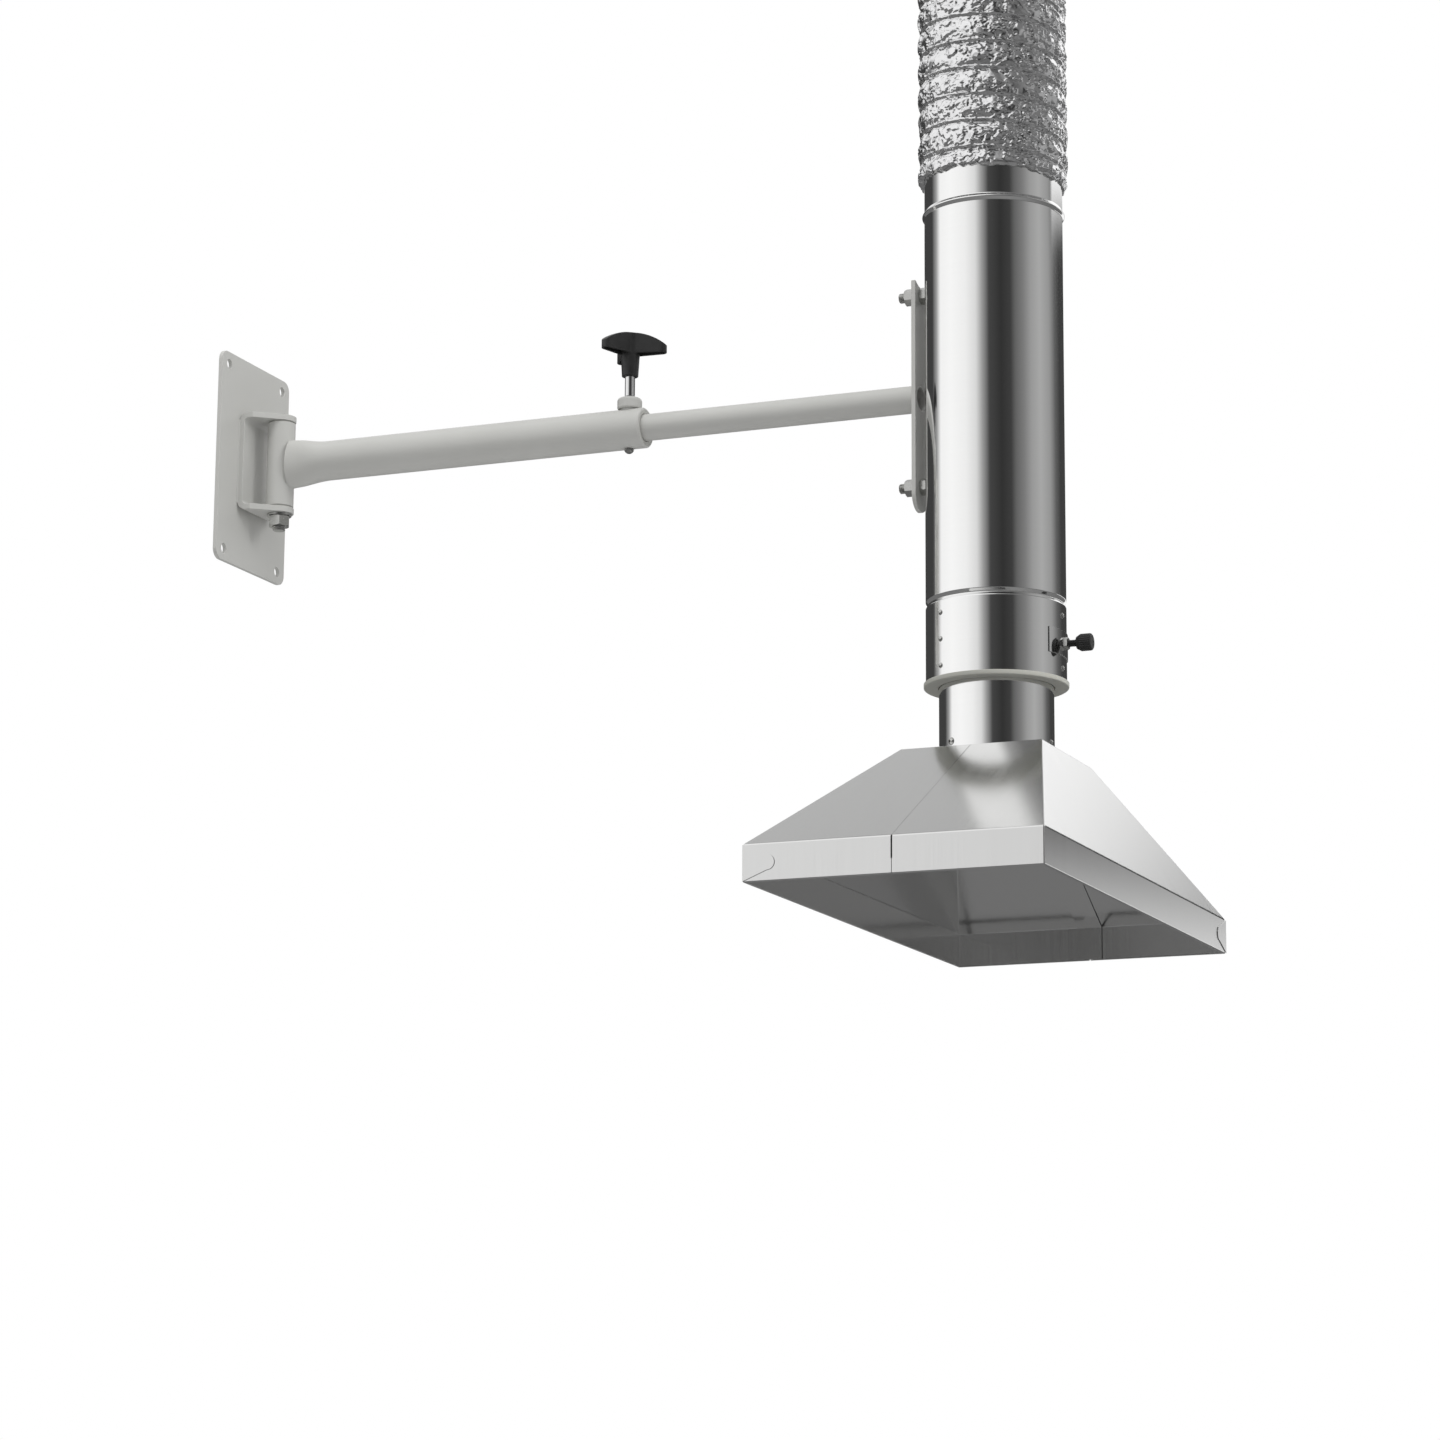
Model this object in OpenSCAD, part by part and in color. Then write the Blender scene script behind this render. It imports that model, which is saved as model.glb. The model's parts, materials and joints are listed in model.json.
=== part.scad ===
// Fume extraction arm for a wall: a swinging telescopic arm carries an upright pipe, in which
// a second pipe with a rectangular hood slides up and down.
// The origin is the centre of the wall plate's back face. +X runs along the arm, away from
// the wall, and +Z is up. The pipes stand parallel to Z at X = reach.

/* [Reach and travel] */
// Distance from the wall to the axis of the pipes
reach = 970; // [960:10:1100]
// How far the carriage slides back towards the wall
arm_travel = 315; // [200:5:316]
// How far the hood pulls down from its upper place
hood_travel = 460; // [300:10:480]

/* [Wall plate] */
// Width of the plate along the wall
plate_w = 168; // [150:1:220]
// Height of the plate
plate_h = 262; // [240:1:320]
// Thickness of the plate
plate_t = 5; // [3:0.5:8]
// Radius of the plate's corners
plate_corner_r = 13; // [5:1:20]
// Diameter of the holes for the wall bolts
wall_hole_d = 12; // [8:0.5:14]
// Distance between the wall bolts across the plate
wall_hole_gap_y = 132; // [110:1:140]
// Distance between the wall bolts up the plate
wall_hole_gap_z = 232; // [180:1:236]

/* [Pivot bracket] */
// Height over both ears
bracket_h = 123; // [110:1:150]
// Width of the strap
bracket_w = 76; // [60:1:100]
// Thickness of the strap
bracket_t = 7; // [4:0.5:8]
// Outer radius of the strap's bends
bracket_bend_r = 12; // [9:1:16]
// Length of an ear's straight sides
ear_straight_l = 18; // [8:1:20]
// Radius of an ear's round nose
ear_nose_r = 17.5; // [16:0.5:22]
// Distance from the wall to the pivot's axis
pivot_x = 43; // [40:1:60]

/* [Pivot] */
// Diameter of the pivot bolt
pivot_d = 16; // [12:1:18]
// Diameter of the bolt's low head
pivot_head_d = 26; // [22:1:30]
// Height of the bolt's head
pivot_head_h = 2.5; // [2:0.5:8]
// Diameter of the pivot washer
pivot_washer_d = 30; // [26:1:32]
// Thickness of the pivot washer
pivot_washer_t = 3; // [1:0.5:4]
// Size of the pivot nut across its flats
pivot_nut_af = 24; // [22:1:30]
// Height of the pivot nut
pivot_nut_h = 13; // [8:1:18]
// How far the bolt stands out of its nut
pivot_bolt_end = 5; // [3:0.5:12]
// Chamfer on the ends of bolts and studs
bolt_chamfer = 1.2; // [0.5:0.1:2]
// Outer diameter of the pivot sleeve
sleeve_d = 33.7; // [32:0.1:36]
// Wall of the pivot sleeve
sleeve_wall = 4; // [2:0.5:4.5]
// Length of a pivot bush inside the sleeve
bush_l = 24; // [12:1:40]
// Thickness of a pivot bush's flange
bush_flange_t = 1.5; // [1:0.5:3]
// How far a bush's flange stands out beyond the sleeve's bore
bush_flange_w = 2.2; // [1:0.1:3]

/* [Outer arm tube] */
// Diameter of the outer arm tube
arm_tube_d = 48.3; // [46:0.1:52]
// Wall of the outer arm tube
arm_tube_wall = 3; // [2:0.1:3.6]
// Length of the outer arm tube beyond the pivot's axis
arm_tube_l = 490; // [480:1:520]
// Height of the tube's pressed end
press_h = 61; // [52:1:70]
// Width of the tube's pressed end
press_w = 36; // [30:1:40]
// Distance from the pivot's axis to the pressed end
press_start = 7; // [5:1:10]
// Distance from the pivot's axis to where the tube is round
press_end = 68; // [50:1:70]
// Length of the bush in the tube's mouth
mouth_bush_l = 50; // [40:1:60]

/* [Inner arm tube] */
// Diameter of the inner arm tube
inner_tube_d = 32; // [28:0.1:34]
// Wall of the inner arm tube
inner_tube_wall = 2.5; // [2:0.1:4]
// Length of the bush on the tube's hidden end
end_bush_l = 30; // [15:1:32]
// Gap between the two bushes when the arm is pulled out
bush_gap = 13; // [4:1:20]
// Depth of the guide groove under the tube
groove_depth = 1.2; // [0.6:0.1:1.5]

/* [Arm clamp] */
// Distance from the tube's mouth back to the clamp
clamp_inset = 21.5; // [18:0.5:25]
// Diameter of the clamp boss
boss_d = 29.5; // [24:0.5:36]
// How far the boss stands above the tube
boss_h = 14; // [8:0.5:20]
// How far the boss reaches down beside the top of the tube
boss_sink = 2.8; // [2:0.1:6]
// Diameter of the clamp stud
stud_d = 12; // [8:0.5:14]
// Length of the stud that shows between the boss and the grip
stud_show = 26.7; // [15:0.1:40]
// Height of the grip
grip_h = 53; // [45:1:60]
// Diameter of the grip's hub at its lower end
hub_d = 19.6; // [17:0.1:24]
// Diameter of the grip's hub where it meets the cap
hub_top_d = 22.7; // [20:0.1:28]
// Distance from the stud's axis to the end of an arm
grip_reach = 45; // [36:0.5:52]
// Angle from the arm tube to the grip's first arm
grip_turn = 8; // [0:1:60]
// Width of an arm at its tip
grip_tip_w = 13; // [9:0.1:16]
// Width of an arm at the hub
grip_root_w = 19; // [15:0.1:24]
// Radius of the webs between the arms
grip_web_r = 9; // [4:0.5:14]
// Height of the domed cap that the arms are part of
grip_cap_h = 26; // [20:0.5:32]
// How much lower the cap's top is at an arm's tip than at the middle
grip_droop = 17.5; // [8:0.5:22]
// Height that a small flat takes off the middle of the cap
grip_flat_h = 0.15; // [0.05:0.05:1]
// Wall of the cap, which is hollow underneath
grip_wall = 2.2; // [1:0.1:3]
// Diameter of the clamp shoe
shoe_d = 11; // [8:0.5:12]
// Thickness of the clamp shoe
shoe_t = 3.5; // [2:0.5:4]

/* [Guide screw] */
// Diameter of the guide screw
guide_d = 6; // [4:0.5:8]
// Diameter of the guide screw's head
guide_head_d = 12; // [9:0.5:14]
// Height of the guide screw's head
guide_head_h = 6; // [3:0.5:8]

/* [Pipe bracket] */
// Width of the pipe bracket plate
carrier_w = 40; // [36:1:50]
// Thickness of the pipe bracket plate
carrier_t = 5; // [4:0.5:8]
// Height of the plate's top edge above the arm's axis
carrier_top = 138; // [120:1:160]
// Depth of the shallow notch in the plate's top edge
carrier_notch = 4.5; // [2:0.5:6]
// Width of the shallow notch
carrier_notch_w = 34; // [20:1:35]
// Distance from the plate's top edge down to the upper stud
upper_stud_drop = 14.3; // [14:0.1:25]
// Distance from the arm's axis down to the lower stud
lower_stud_drop = 105.5; // [80:0.5:120]
// Distance from the lower stud down to the plate's lowest point
carrier_foot = 29.9; // [24:0.1:35]
// Diameter of the studs
carrier_stud_d = 12; // [8:0.5:12]
// How far the studs stand out beyond their nuts
carrier_stud_end = 7.7; // [2:0.1:12]
// Size of the stud nuts across their flats
carrier_nut_af = 18; // [16:1:22]
// Height of the stud nuts
carrier_nut_h = 10.8; // [6:0.1:14]
// Diameter of the stud washers
carrier_washer_d = 24; // [20:1:28]
// Thickness of the stud washers
carrier_washer_t = 2.5; // [1:0.5:4]
// Length of the hexagon spacers between the plate and the pipe
spacer_l = 9.5; // [6:0.5:20]

/* [Outer pipe] */
// Diameter of the outer pipe
pipe_d = 160; // [150:1:170]
// Wall of the outer pipe
pipe_wall = 1; // [0.8:0.1:1.5]
// How far the pipe reaches below the arm's axis
pipe_drop = 344.5; // [330:0.5:360]
// How far the pipe reaches above the arm's axis
pipe_rise = 290; // [285:1:320]
// Distance from the pipe's mouth up to the stop groove
stop_height = 90.5; // [85:0.5:100]
// Height of the stop groove and of the bead
roll_h = 9; // [6:0.5:12]
// Depth of the stop groove
stop_depth = 3; // [2:0.1:4]
// Height of the bead above the arm's axis
bead_height = 208.5; // [180:0.5:230]
// How far the bead stands out
bead_out = 2.5; // [1:0.1:4]

/* [Guide rings] */
// How far the lower ring's flange stands out beyond the pipe
ring_flange_w = 2.5; // [1:0.5:6]
// Thickness of the lower ring's flange
ring_flange_t = 5.5; // [3:0.5:10]
// Height of the lower ring inside the pipe
ring_body_h = 82; // [76:0.5:84]
// Height of the upper ring
upper_ring_h = 19; // [10:1:30]

/* [Rivets] */
// Diameter of the rivets' heads
rivet_head_d = 6; // [4:0.5:8]
// Height of the rivets' heads
rivet_head_h = 1.6; // [1:0.1:3]
// Diameter of the rivets' shanks
rivet_d = 3.2; // [2.4:0.1:4]
// Length of the rivets' shanks
rivet_l = 6; // [4:0.5:8]
// Distance from the pipe's mouth up to the lowest row
rivet_low = 11.5; // [8:0.5:14]
// Distance between the rows
rivet_pitch = 30.5; // [26:0.5:32]

/* [Height lock] */
// Distance from the pipe's mouth up to the lock screw
lock_height = 40.5; // [36:0.5:45]
// Height of the lock plate
lock_plate_h = 29; // [20:1:32]
// Thickness of the lock plate
lock_plate_t = 1; // [0.8:0.1:2]
// Length of the lock plate round the pipe
lock_plate_w = 67; // [40:1:80]
// Diameter of the lock screw
lock_d = 8; // [6:0.5:8]
// Size of the lock nut across its flats
lock_nut_af = 13; // [12:0.5:16]
// Height of the lock nut
lock_nut_h = 5; // [4:0.5:8]
// Length of the screw between the nut and the knob
lock_neck_l = 10; // [6:0.5:16]
// Diameter of the knob
knob_d = 19.8; // [16:0.1:30]
// Length of the knob
knob_l = 18; // [12:0.5:28]
// Length of the knob's conical shoulder
knob_shoulder_l = 5; // [2:0.5:8]
// Diameter of the lock pad
pad_d = 8; // [6:0.5:8]
// Length of the lock pad
pad_l = 5; // [3:0.5:8]

/* [Inner pipe] */
// Diameter of the inner pipe
inner_pipe_d = 130.5; // [125:0.5:134]
// Wall of the inner pipe
inner_pipe_wall = 1; // [0.8:0.1:1.5]
// How far the hood hangs below the lower guide ring
hood_gap = 80; // [60:1:160]
// How far the bead under the upper ring stands out
rest_bead_out = 2.2; // [1:0.1:3]
// Height of the bead under the upper ring
rest_bead_h = 6; // [4:0.5:8]
// Width of the lip above the upper ring
lip_w = 4; // [2:0.5:6]

/* [Hood] */
// Length of the hood along the arm
hood_x = 335; // [300:1:400]
// Length of the hood across the arm
hood_y = 690; // [500:1:800]
// Length of the hood's flat top along the arm
hood_top_x = 166; // [160:1:200]
// Length of the hood's flat top across the arm
hood_top_y = 180; // [160:1:220]
// Height of the sloping part
slope_h = 143.5; // [100:0.5:200]
// Height of the upright rim
rim_h = 41; // [36:0.5:60]
// Thickness of the sheet
sheet_t = 1; // [0.8:0.1:1.5]
// Width of the hem folded in under the rim
hem_w = 3; // [2:0.5:8]
// Width of the straps inside the seams
strap_w = 30; // [15:1:40]
// Width of the slits in the rim at the seams
slit_w = 1.6; // [1:0.1:3]
// Height of the slit in the front rim
slit_h = 24.5; // [10:0.5:30]
// Length of a corner tab
tab_l = 36.5; // [20:0.5:50]
// Height of a corner tab's round nose
tab_nose_h = 17; // [10:0.5:25]

/* [Hood neck] */
// Height of the collar inside the pipe
neck_h = 25; // [18:1:40]
// Wall of the collar
neck_wall = 1.5; // [1:0.1:2]
// Width of the collar's flange under the hood's top
neck_flange_w = 12; // [6:1:14]
// Distance from the hood's top up to the screws
neck_screw_rise = 12; // [8:0.5:16]
// Diameter of the neck screws
neck_screw_d = 4.2; // [3:0.1:5]
// Diameter of the neck screws' heads
neck_head_d = 9; // [7:0.5:12]
// Height of the neck screws' heads
neck_head_h = 3; // [2:0.1:4]

/* [Foil duct] */
// Height of the duct's lower edge above the arm's axis
duct_low = 242; // [220:1:260]
// Length of the duct
duct_l = 298; // [260:1:400]
// Radius of the duct's wire ridges
duct_ridge_r = 86; // [84:0.5:94]
// Distance from one turn of the wire to the next
duct_pitch = 32; // [24:1:40]
// Wall of the duct between its ridges
duct_wall = 0.9; // [0.8:0.1:2]
// Length of the plain cuff at the duct's upper end
cuff_l = 30; // [24:1:40]

/* [Duct coupler] */
// Diameter of the coupler
coupler_d = 159.4; // [148:0.1:169.4]
// Wall of the coupler
coupler_wall = 1; // [0.8:0.1:1.5]
// How far the coupler reaches into the duct
coupler_in = 44; // [30:1:50]
// How far the coupler reaches out of the duct
coupler_out = 48; // [30:1:60]
// Width of the band of the duct clamp
band_w = 12; // [8:1:14]
// Thickness of the band
band_t = 0.8; // [0.6:0.1:1.2]
// Distance from the duct's upper edge down to the band
band_inset = 6; // [2:1:12]
// Length of the band's screw housing
housing_l = 22; // [16:1:30]
// Height of the band's screw housing
housing_h = 9; // [7:1:12]
// Size of the band's screw across its flats
band_screw_af = 6; // [5:0.5:7]
// How far the band's screw stands out of its housing
band_screw_out = 4.5; // [3:0.5:8]

/* [Clearances] */
// Gap round parts that turn or slide loosely
play = 0.3; // [0.2:0.05:0.5]
// Gap round a running shaft, bush or screw
running_gap = 0.05; // [0.02:0.01:0.1]
// Gap round a bolt in its hole
hole_gap = 0.25; // [0.1:0.05:0.5]
// Gap under a plate that lies on a round wall
seat_gap = 0.2; // [0.1:0.05:0.3]
// Gap between the two halves of the hood
seam_gap = 0.4; // [0.2:0.1:1]
// Gap that is left at the ends of the travels
stop_gap = 1.5; // [1:0.5:3]

/* [Hidden] */
// Smoothness of round parts, and of the shapes that are hulled or swept
$fn = 96;
hull_fn = 24;
press_sides = 48;
press_rings = 10;
roll_steps = 12;
duct_sides = 32;
duct_steps = 8;
// How far a cut runs past the surface that it opens
over = 1;
hex_corner = 30;
full_turn = 360;
half_turn = 180;
quarter_turn = 90;

// The columns of rivets and screws stand a little off the lock screw
column_turn = -2.5;
columns = 3;
rivet_rows = 3;
grip_arms = 3;
knob_flutes = 24;
flute_r = 0.9;
flute_depth = 0.6;
// How far out an arm of the grip starts, as a share of its reach
// How much of a rivet's or screw's head sinks below the top of the round wall that it sits on
head_sink_share = 0.25;
// The share of a turn over which the duct's wire fades into the cuff
fade_share = 0.25;
// How far the flats of the pressed end's sides stand clear of the round tube
press_clear = 0.1;
edge_r = 2;
boss_edge = 2;
ring_chamfer = 1.2;
duct_ridge_power = 2;

inner_gap_z = bracket_h / 2 - bracket_t;
sleeve_half = inner_gap_z - bush_flange_t - play;
tube_r = arm_tube_d / 2;
tube_bore_r = tube_r - arm_tube_wall;
tube_end_x = pivot_x + arm_tube_l;
round_x = pivot_x + press_end;
clamp_x = tube_end_x - clamp_inset;
inner_tube_r = inner_tube_d / 2;
pipe_r = pipe_d / 2;
pipe_bore_r = pipe_r - pipe_wall;
carrier_x1 = reach - pipe_r - spacer_l;
carrier_x0 = carrier_x1 - carrier_t;
upper_stud_z = carrier_top - upper_stud_drop;
lower_stud_z = -lower_stud_drop;
inner_tube_x0 = tube_end_x - mouth_bush_l - bush_gap - end_bush_l;
pipe_low_z = -pipe_drop;
stop_z = pipe_low_z + stop_height;
lock_z = pipe_low_z + lock_height;
inner_pipe_r = inner_pipe_d / 2;
inner_bore_r = inner_pipe_r - inner_pipe_wall;
guide_bore_r = inner_pipe_r + play;
hood_top_z = pipe_low_z - ring_flange_t - hood_gap;
slope_low_z = hood_top_z - slope_h;
rim_low_z = slope_low_z - rim_h;
upper_ring_z = stop_z + roll_h / 2 + stop_gap + hood_travel;
inner_pipe_top = upper_ring_z + upper_ring_h + play + inner_pipe_wall;
boss_top_z = tube_r + boss_h;
boss_low_z = tube_r - boss_sink;
press_hole_d = max(stud_d, shoe_d) + 2 * play;
grip_low_z = boss_top_z + stud_show;
grip_top_z = grip_low_z + grip_h;
shoe_low_r = inner_tube_r + play;
duct_top_z = duct_low + duct_l;
duct_bore_r = (pipe_r + play) / cos(half_turn / duct_sides);
valley_r = duct_bore_r + duct_wall;
coupler_r = coupler_d / 2;
pad_low_r = inner_pipe_r + play;
knob_x = reach + pipe_r + seat_gap + lock_plate_t + lock_nut_h + lock_neck_l;
neck_r = inner_bore_r - running_gap;
neck_screw_z = hood_top_z + neck_screw_rise;

// A number between a and b, smooth at both ends, for t from 0 to 1
function blend(a, b, t) = a + (b - a) * (1 - cos(half_turn * t)) / 2;

// How far a rolled bead of height h and depth d stands out at height z
function roll(z, middle, h, d) =
    abs(z - middle) >= h / 2 ? 0 : d * (1 + cos(full_turn * (z - middle) / h)) / 2;

// Places the children along +X instead of +Z
module along_x(x) translate([x, 0, 0]) rotate([0, quarter_turn, 0]) children();

// Places the children on the pipes' axis
module on_pipes(z = 0) translate([reach, 0, z]) children();

// Points the children outwards from the pipes' axis at each column of rivets or screws
module at_columns(z) {
    for (i = [0 : columns - 1])
        on_pipes(z) rotate(column_turn + i * full_turn / columns) along_x(0) children();
}

// A flat outline with round corners
module rounded(w, h, r) {
    square([w - 2 * r, h], center = true);
    square([w, h - 2 * r], center = true);
    for (x = [-1, 1], y = [-1, 1])
        translate([x * (w / 2 - r), y * (h / 2 - r)]) circle(r);
}

// An upright tube between two heights
module tube(outer_r, bore_r, z0, z1) {
    difference() {
        translate([0, 0, z0]) cylinder(r = outer_r, h = z1 - z0);
        translate([0, 0, z0 - over]) cylinder(r = bore_r, h = z1 - z0 + 2 * over);
    }
}

// A bolt or stud with chamfered ends
module shank(d, l) {
    rotate_extrude() polygon([
        [0, 0], [d / 2 - bolt_chamfer, 0], [d / 2, bolt_chamfer],
        [d / 2, l - bolt_chamfer], [d / 2 - bolt_chamfer, l], [0, l]
    ]);
}

// A hexagon nut whose corners are turned off at both ends
module nut(af, h, bore_d) {
    corner = af / cos(hex_corner) / 2;
    slope = (corner - af / 2) * tan(hex_corner);
    difference() {
        intersection() {
            cylinder(r = corner, h = h, $fn = 6);
            rotate_extrude() polygon([
                [0, 0], [af / 2, 0], [corner, slope],
                [corner, h - slope], [af / 2, h], [0, h]
            ]);
        }
        translate([0, 0, -over]) cylinder(d = bore_d, h = h + 2 * over);
    }
}

// A dome of a screw or rivet head, flat side down
module dome(d, h) {
    curve = (d * d / 4 + h * h) / (2 * h);
    intersection() {
        translate([0, 0, h - curve]) sphere(curve);
        cylinder(d = d, h = h);
    }
}

// A thin round wall with rolled beads, given as [middle, height, depth]
module rolled_pipe(r, wall, z0, z1, rolls) {
    heights = concat(
        [z0],
        [for (b = rolls, i = [0 : roll_steps]) b[0] + b[1] * (i / roll_steps - 1 / 2)],
        [z1]
    );
    function out(z) = [for (b = rolls) roll(z, b[0], b[1], b[2])] * [for (b = rolls) 1];
    last = len(heights) - 1;
    rotate_extrude() polygon(concat(
        [for (z = heights) [r + out(z), z]],
        [for (i = [0 : last]) [r - wall + out(heights[last - i]), heights[last - i]]]
    ));
}

module wall_plate() {
    color("gainsboro") difference() {
        along_x(0) linear_extrude(plate_t) rounded(plate_h, plate_w, plate_corner_r);
        for (y = [-1, 1], z = [-1, 1])
            translate([-over, y * wall_hole_gap_y / 2, z * wall_hole_gap_z / 2])
                along_x(0) cylinder(d = wall_hole_d, h = plate_t + 2 * over);
    }
}

// Plan of an ear: straight sides, then a taper that touches the round nose
module ear_plan() {
    straight_x = plate_t + ear_straight_l;
    from_nose = [straight_x - pivot_x, bracket_w / 2];
    touch = atan2(from_nose[1], from_nose[0]) - acos(ear_nose_r / norm(from_nose));
    touch_x = pivot_x + ear_nose_r * cos(touch);
    touch_y = ear_nose_r * sin(touch);
    polygon([
        [plate_t, -bracket_w / 2], [straight_x, -bracket_w / 2], [touch_x, -touch_y],
        [touch_x, touch_y], [straight_x, bracket_w / 2], [plate_t, bracket_w / 2]
    ]);
    translate([pivot_x, 0]) circle(ear_nose_r);
}

module pivot_bracket() {
    strap_l = 2 * (pivot_x + ear_nose_r);
    color("gainsboro") difference() {
        intersection() {
            translate([plate_t + strap_l / 2, 0, 0]) rotate([quarter_turn, 0, 0])
                linear_extrude(bracket_w, center = true) difference() {
                    rounded(strap_l, bracket_h, bracket_bend_r);
                    rounded(strap_l - 2 * bracket_t, bracket_h - 2 * bracket_t,
                            bracket_bend_r - bracket_t);
                }
            linear_extrude(bracket_h + 2 * over, center = true) ear_plan();
        }
        translate([pivot_x, 0, 0])
            cylinder(d = pivot_d + 2 * hole_gap, h = bracket_h + 2 * over, center = true);
    }
}

module pivot_bolt() {
    low = -bracket_h / 2 - pivot_washer_t - pivot_nut_h - pivot_bolt_end;
    color("silver") translate([pivot_x, 0, 0]) {
        translate([0, 0, low]) shank(pivot_d, bracket_h / 2 - low);
        translate([0, 0, bracket_h / 2]) dome(pivot_head_d, pivot_head_h);
        translate([0, 0, bracket_h / 2 - bolt_chamfer])
            cylinder(d = pivot_d, h = 2 * bolt_chamfer);
    }
}

module pivot_washer() {
    color("silver") translate([pivot_x, 0, 0])
        tube(pivot_washer_d / 2, pivot_d / 2 + hole_gap,
             -bracket_h / 2 - pivot_washer_t, -bracket_h / 2);
}

module pivot_nut() {
    color("silver") translate([pivot_x, 0, -bracket_h / 2 - pivot_washer_t - pivot_nut_h])
        nut(pivot_nut_af, pivot_nut_h, pivot_d + 2 * running_gap);
}

module pivot_sleeve() {
    color("gainsboro") translate([pivot_x, 0, 0])
        tube(sleeve_d / 2, sleeve_d / 2 - sleeve_wall, -sleeve_half, sleeve_half);
}

// Two flanged bushes, one in each end of the sleeve
module pivot_bushes() {
    outer_r = sleeve_d / 2 - sleeve_wall;
    bore_r = pivot_d / 2 + running_gap;
    color("ivory") for (side = [0, 1])
        translate([pivot_x, 0, 0]) mirror([0, 0, side]) {
            tube(outer_r, bore_r, sleeve_half - bush_l, sleeve_half);
            tube(outer_r + bush_flange_w, bore_r, sleeve_half, sleeve_half + bush_flange_t);
        }
}

// A ring of points of the pressed end at share s of its length, drawn in by an inset
function press_ring(s, inset) =
    let (t = min(max(s, 0), 1),
         x = pivot_x + press_start + s * (press_end - press_start),
         half_w = blend(press_w, arm_tube_d, t) / 2 + press_clear - inset,
         half_h = blend(press_h, arm_tube_d, t) / 2 + press_clear - inset)
    [
        for (i = [0 : press_sides - 1]) let (a = i * full_turn / press_sides)
            [x, half_w * cos(a), half_h * sin(a)]
    ];

// The faces between rings as triangles, closed over the two end rings
function sweep_faces(rings, sides) = concat(
    [[for (i = [0 : sides - 1]) i]],
    [
        for (k = [0 : rings - 2], i = [0 : sides - 1])
            let (j = (i + 1) % sides, low = k * sides, high = low + sides)
            each [[low + i, high + i, low + j], [low + j, high + i, high + j]]
    ],
    [[for (i = [0 : sides - 1]) rings * sides - 1 - i]]
);

// The pressed end as a solid, drawn in by an inset, with both ends moved out by shares of it
module pressed_end(inset, before_share, after_share) {
    shares = [
        for (k = [0 : press_rings])
            -before_share + (1 + before_share + after_share) * k / press_rings
    ];
    polyhedron(points = [for (s = shares) each press_ring(s, inset)],
               faces = sweep_faces(press_rings + 1, press_sides), convexity = 2);
}

module arm_outer_tube() {
    end_share = 0.05;
    color("gainsboro") difference() {
        union() {
            along_x(round_x) cylinder(r = tube_r, h = tube_end_x - round_x);
            pressed_end(0, 0, end_share);
        }
        along_x(round_x) cylinder(r = tube_bore_r, h = tube_end_x - round_x + over);
        pressed_end(arm_tube_wall, end_share, end_share);
        translate([pivot_x, 0, 0])
            cylinder(d = sleeve_d, h = bracket_h, center = true);
        translate([clamp_x, 0, 0]) cylinder(d = press_hole_d, h = arm_tube_d);
        translate([clamp_x, 0, -arm_tube_d]) cylinder(d = guide_d + 2 * hole_gap, h = arm_tube_d);
    }
}

module arm_guide_bush() {
    color("silver") difference() {
        along_x(tube_end_x - mouth_bush_l)
            tube(tube_bore_r, inner_tube_r + play, 0, mouth_bush_l);
        translate([clamp_x, 0, 0]) cylinder(d = press_hole_d, h = arm_tube_d);
        translate([clamp_x, 0, -arm_tube_d]) cylinder(d = guide_d + 2 * hole_gap, h = arm_tube_d);
    }
}

// Round boss with a flat underside, let into the top of the tube
module clamp_boss() {
    color("gainsboro") difference() {
        translate([clamp_x, 0, 0]) rotate_extrude() polygon([
            [stud_d / 2 + running_gap, boss_low_z], [boss_d / 2, boss_low_z],
            [boss_d / 2, boss_top_z - boss_edge], [boss_d / 2 - boss_edge, boss_top_z],
            [stud_d / 2 + running_gap, boss_top_z]
        ]);
        along_x(clamp_x - boss_d) cylinder(r = tube_r, h = 2 * boss_d);
    }
}

// Screw whose tip runs in the groove under the inner tube
module guide_screw() {
    tip_z = -inner_tube_r + groove_depth - play;
    color("silver") translate([clamp_x, 0, 0]) {
        translate([0, 0, -tube_r - over]) cylinder(d = guide_d, h = tip_z + tube_r + over);
        difference() {
            mirror([0, 0, 1]) translate([0, 0, tube_r - over])
                dome(guide_head_d, guide_head_h + over);
            along_x(-guide_head_d) cylinder(r = tube_r, h = 2 * guide_head_d);
        }
    }
}

// Round pad with a hollow face that fits over the inner tube
module clamp_shoe() {
    color("goldenrod") difference() {
        translate([clamp_x, 0, 0]) cylinder(d = shoe_d, h = shoe_low_r + shoe_t);
        along_x(clamp_x - shoe_d) cylinder(r = shoe_low_r, h = 2 * shoe_d);
    }
}

module clamp_stud() {
    low = shoe_low_r + shoe_t + running_gap;
    color("silver") translate([clamp_x, 0, low])
        shank(stud_d, grip_low_z + grip_h / 2 - low);
}

// Plan of the grip's three arms, with round webs between them
module grip_plan(inset) {
    offset(delta = -inset) offset(r = -grip_web_r) offset(delta = grip_web_r)
        for (i = [0 : grip_arms - 1]) rotate(grip_turn + i * full_turn / grip_arms) hull() {
            circle(d = grip_root_w, $fn = hull_fn);
            translate([grip_reach - grip_tip_w / 2, 0]) circle(d = grip_tip_w, $fn = hull_fn);
        }
}

// The cap's shape above its rim, drawn in by an inset
module grip_cap(inset, drop) {
    tip_h = grip_cap_h - grip_droop - inset;
    intersection() {
        translate([0, 0, -drop]) linear_extrude(grip_cap_h - inset + drop) grip_plan(inset);
        union() {
            translate([0, 0, -drop]) cylinder(r = grip_reach + over, h = tip_h + drop);
            translate([0, 0, tip_h]) dome(2 * (grip_reach + over), grip_droop + grip_flat_h);
        }
    }
}

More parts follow.
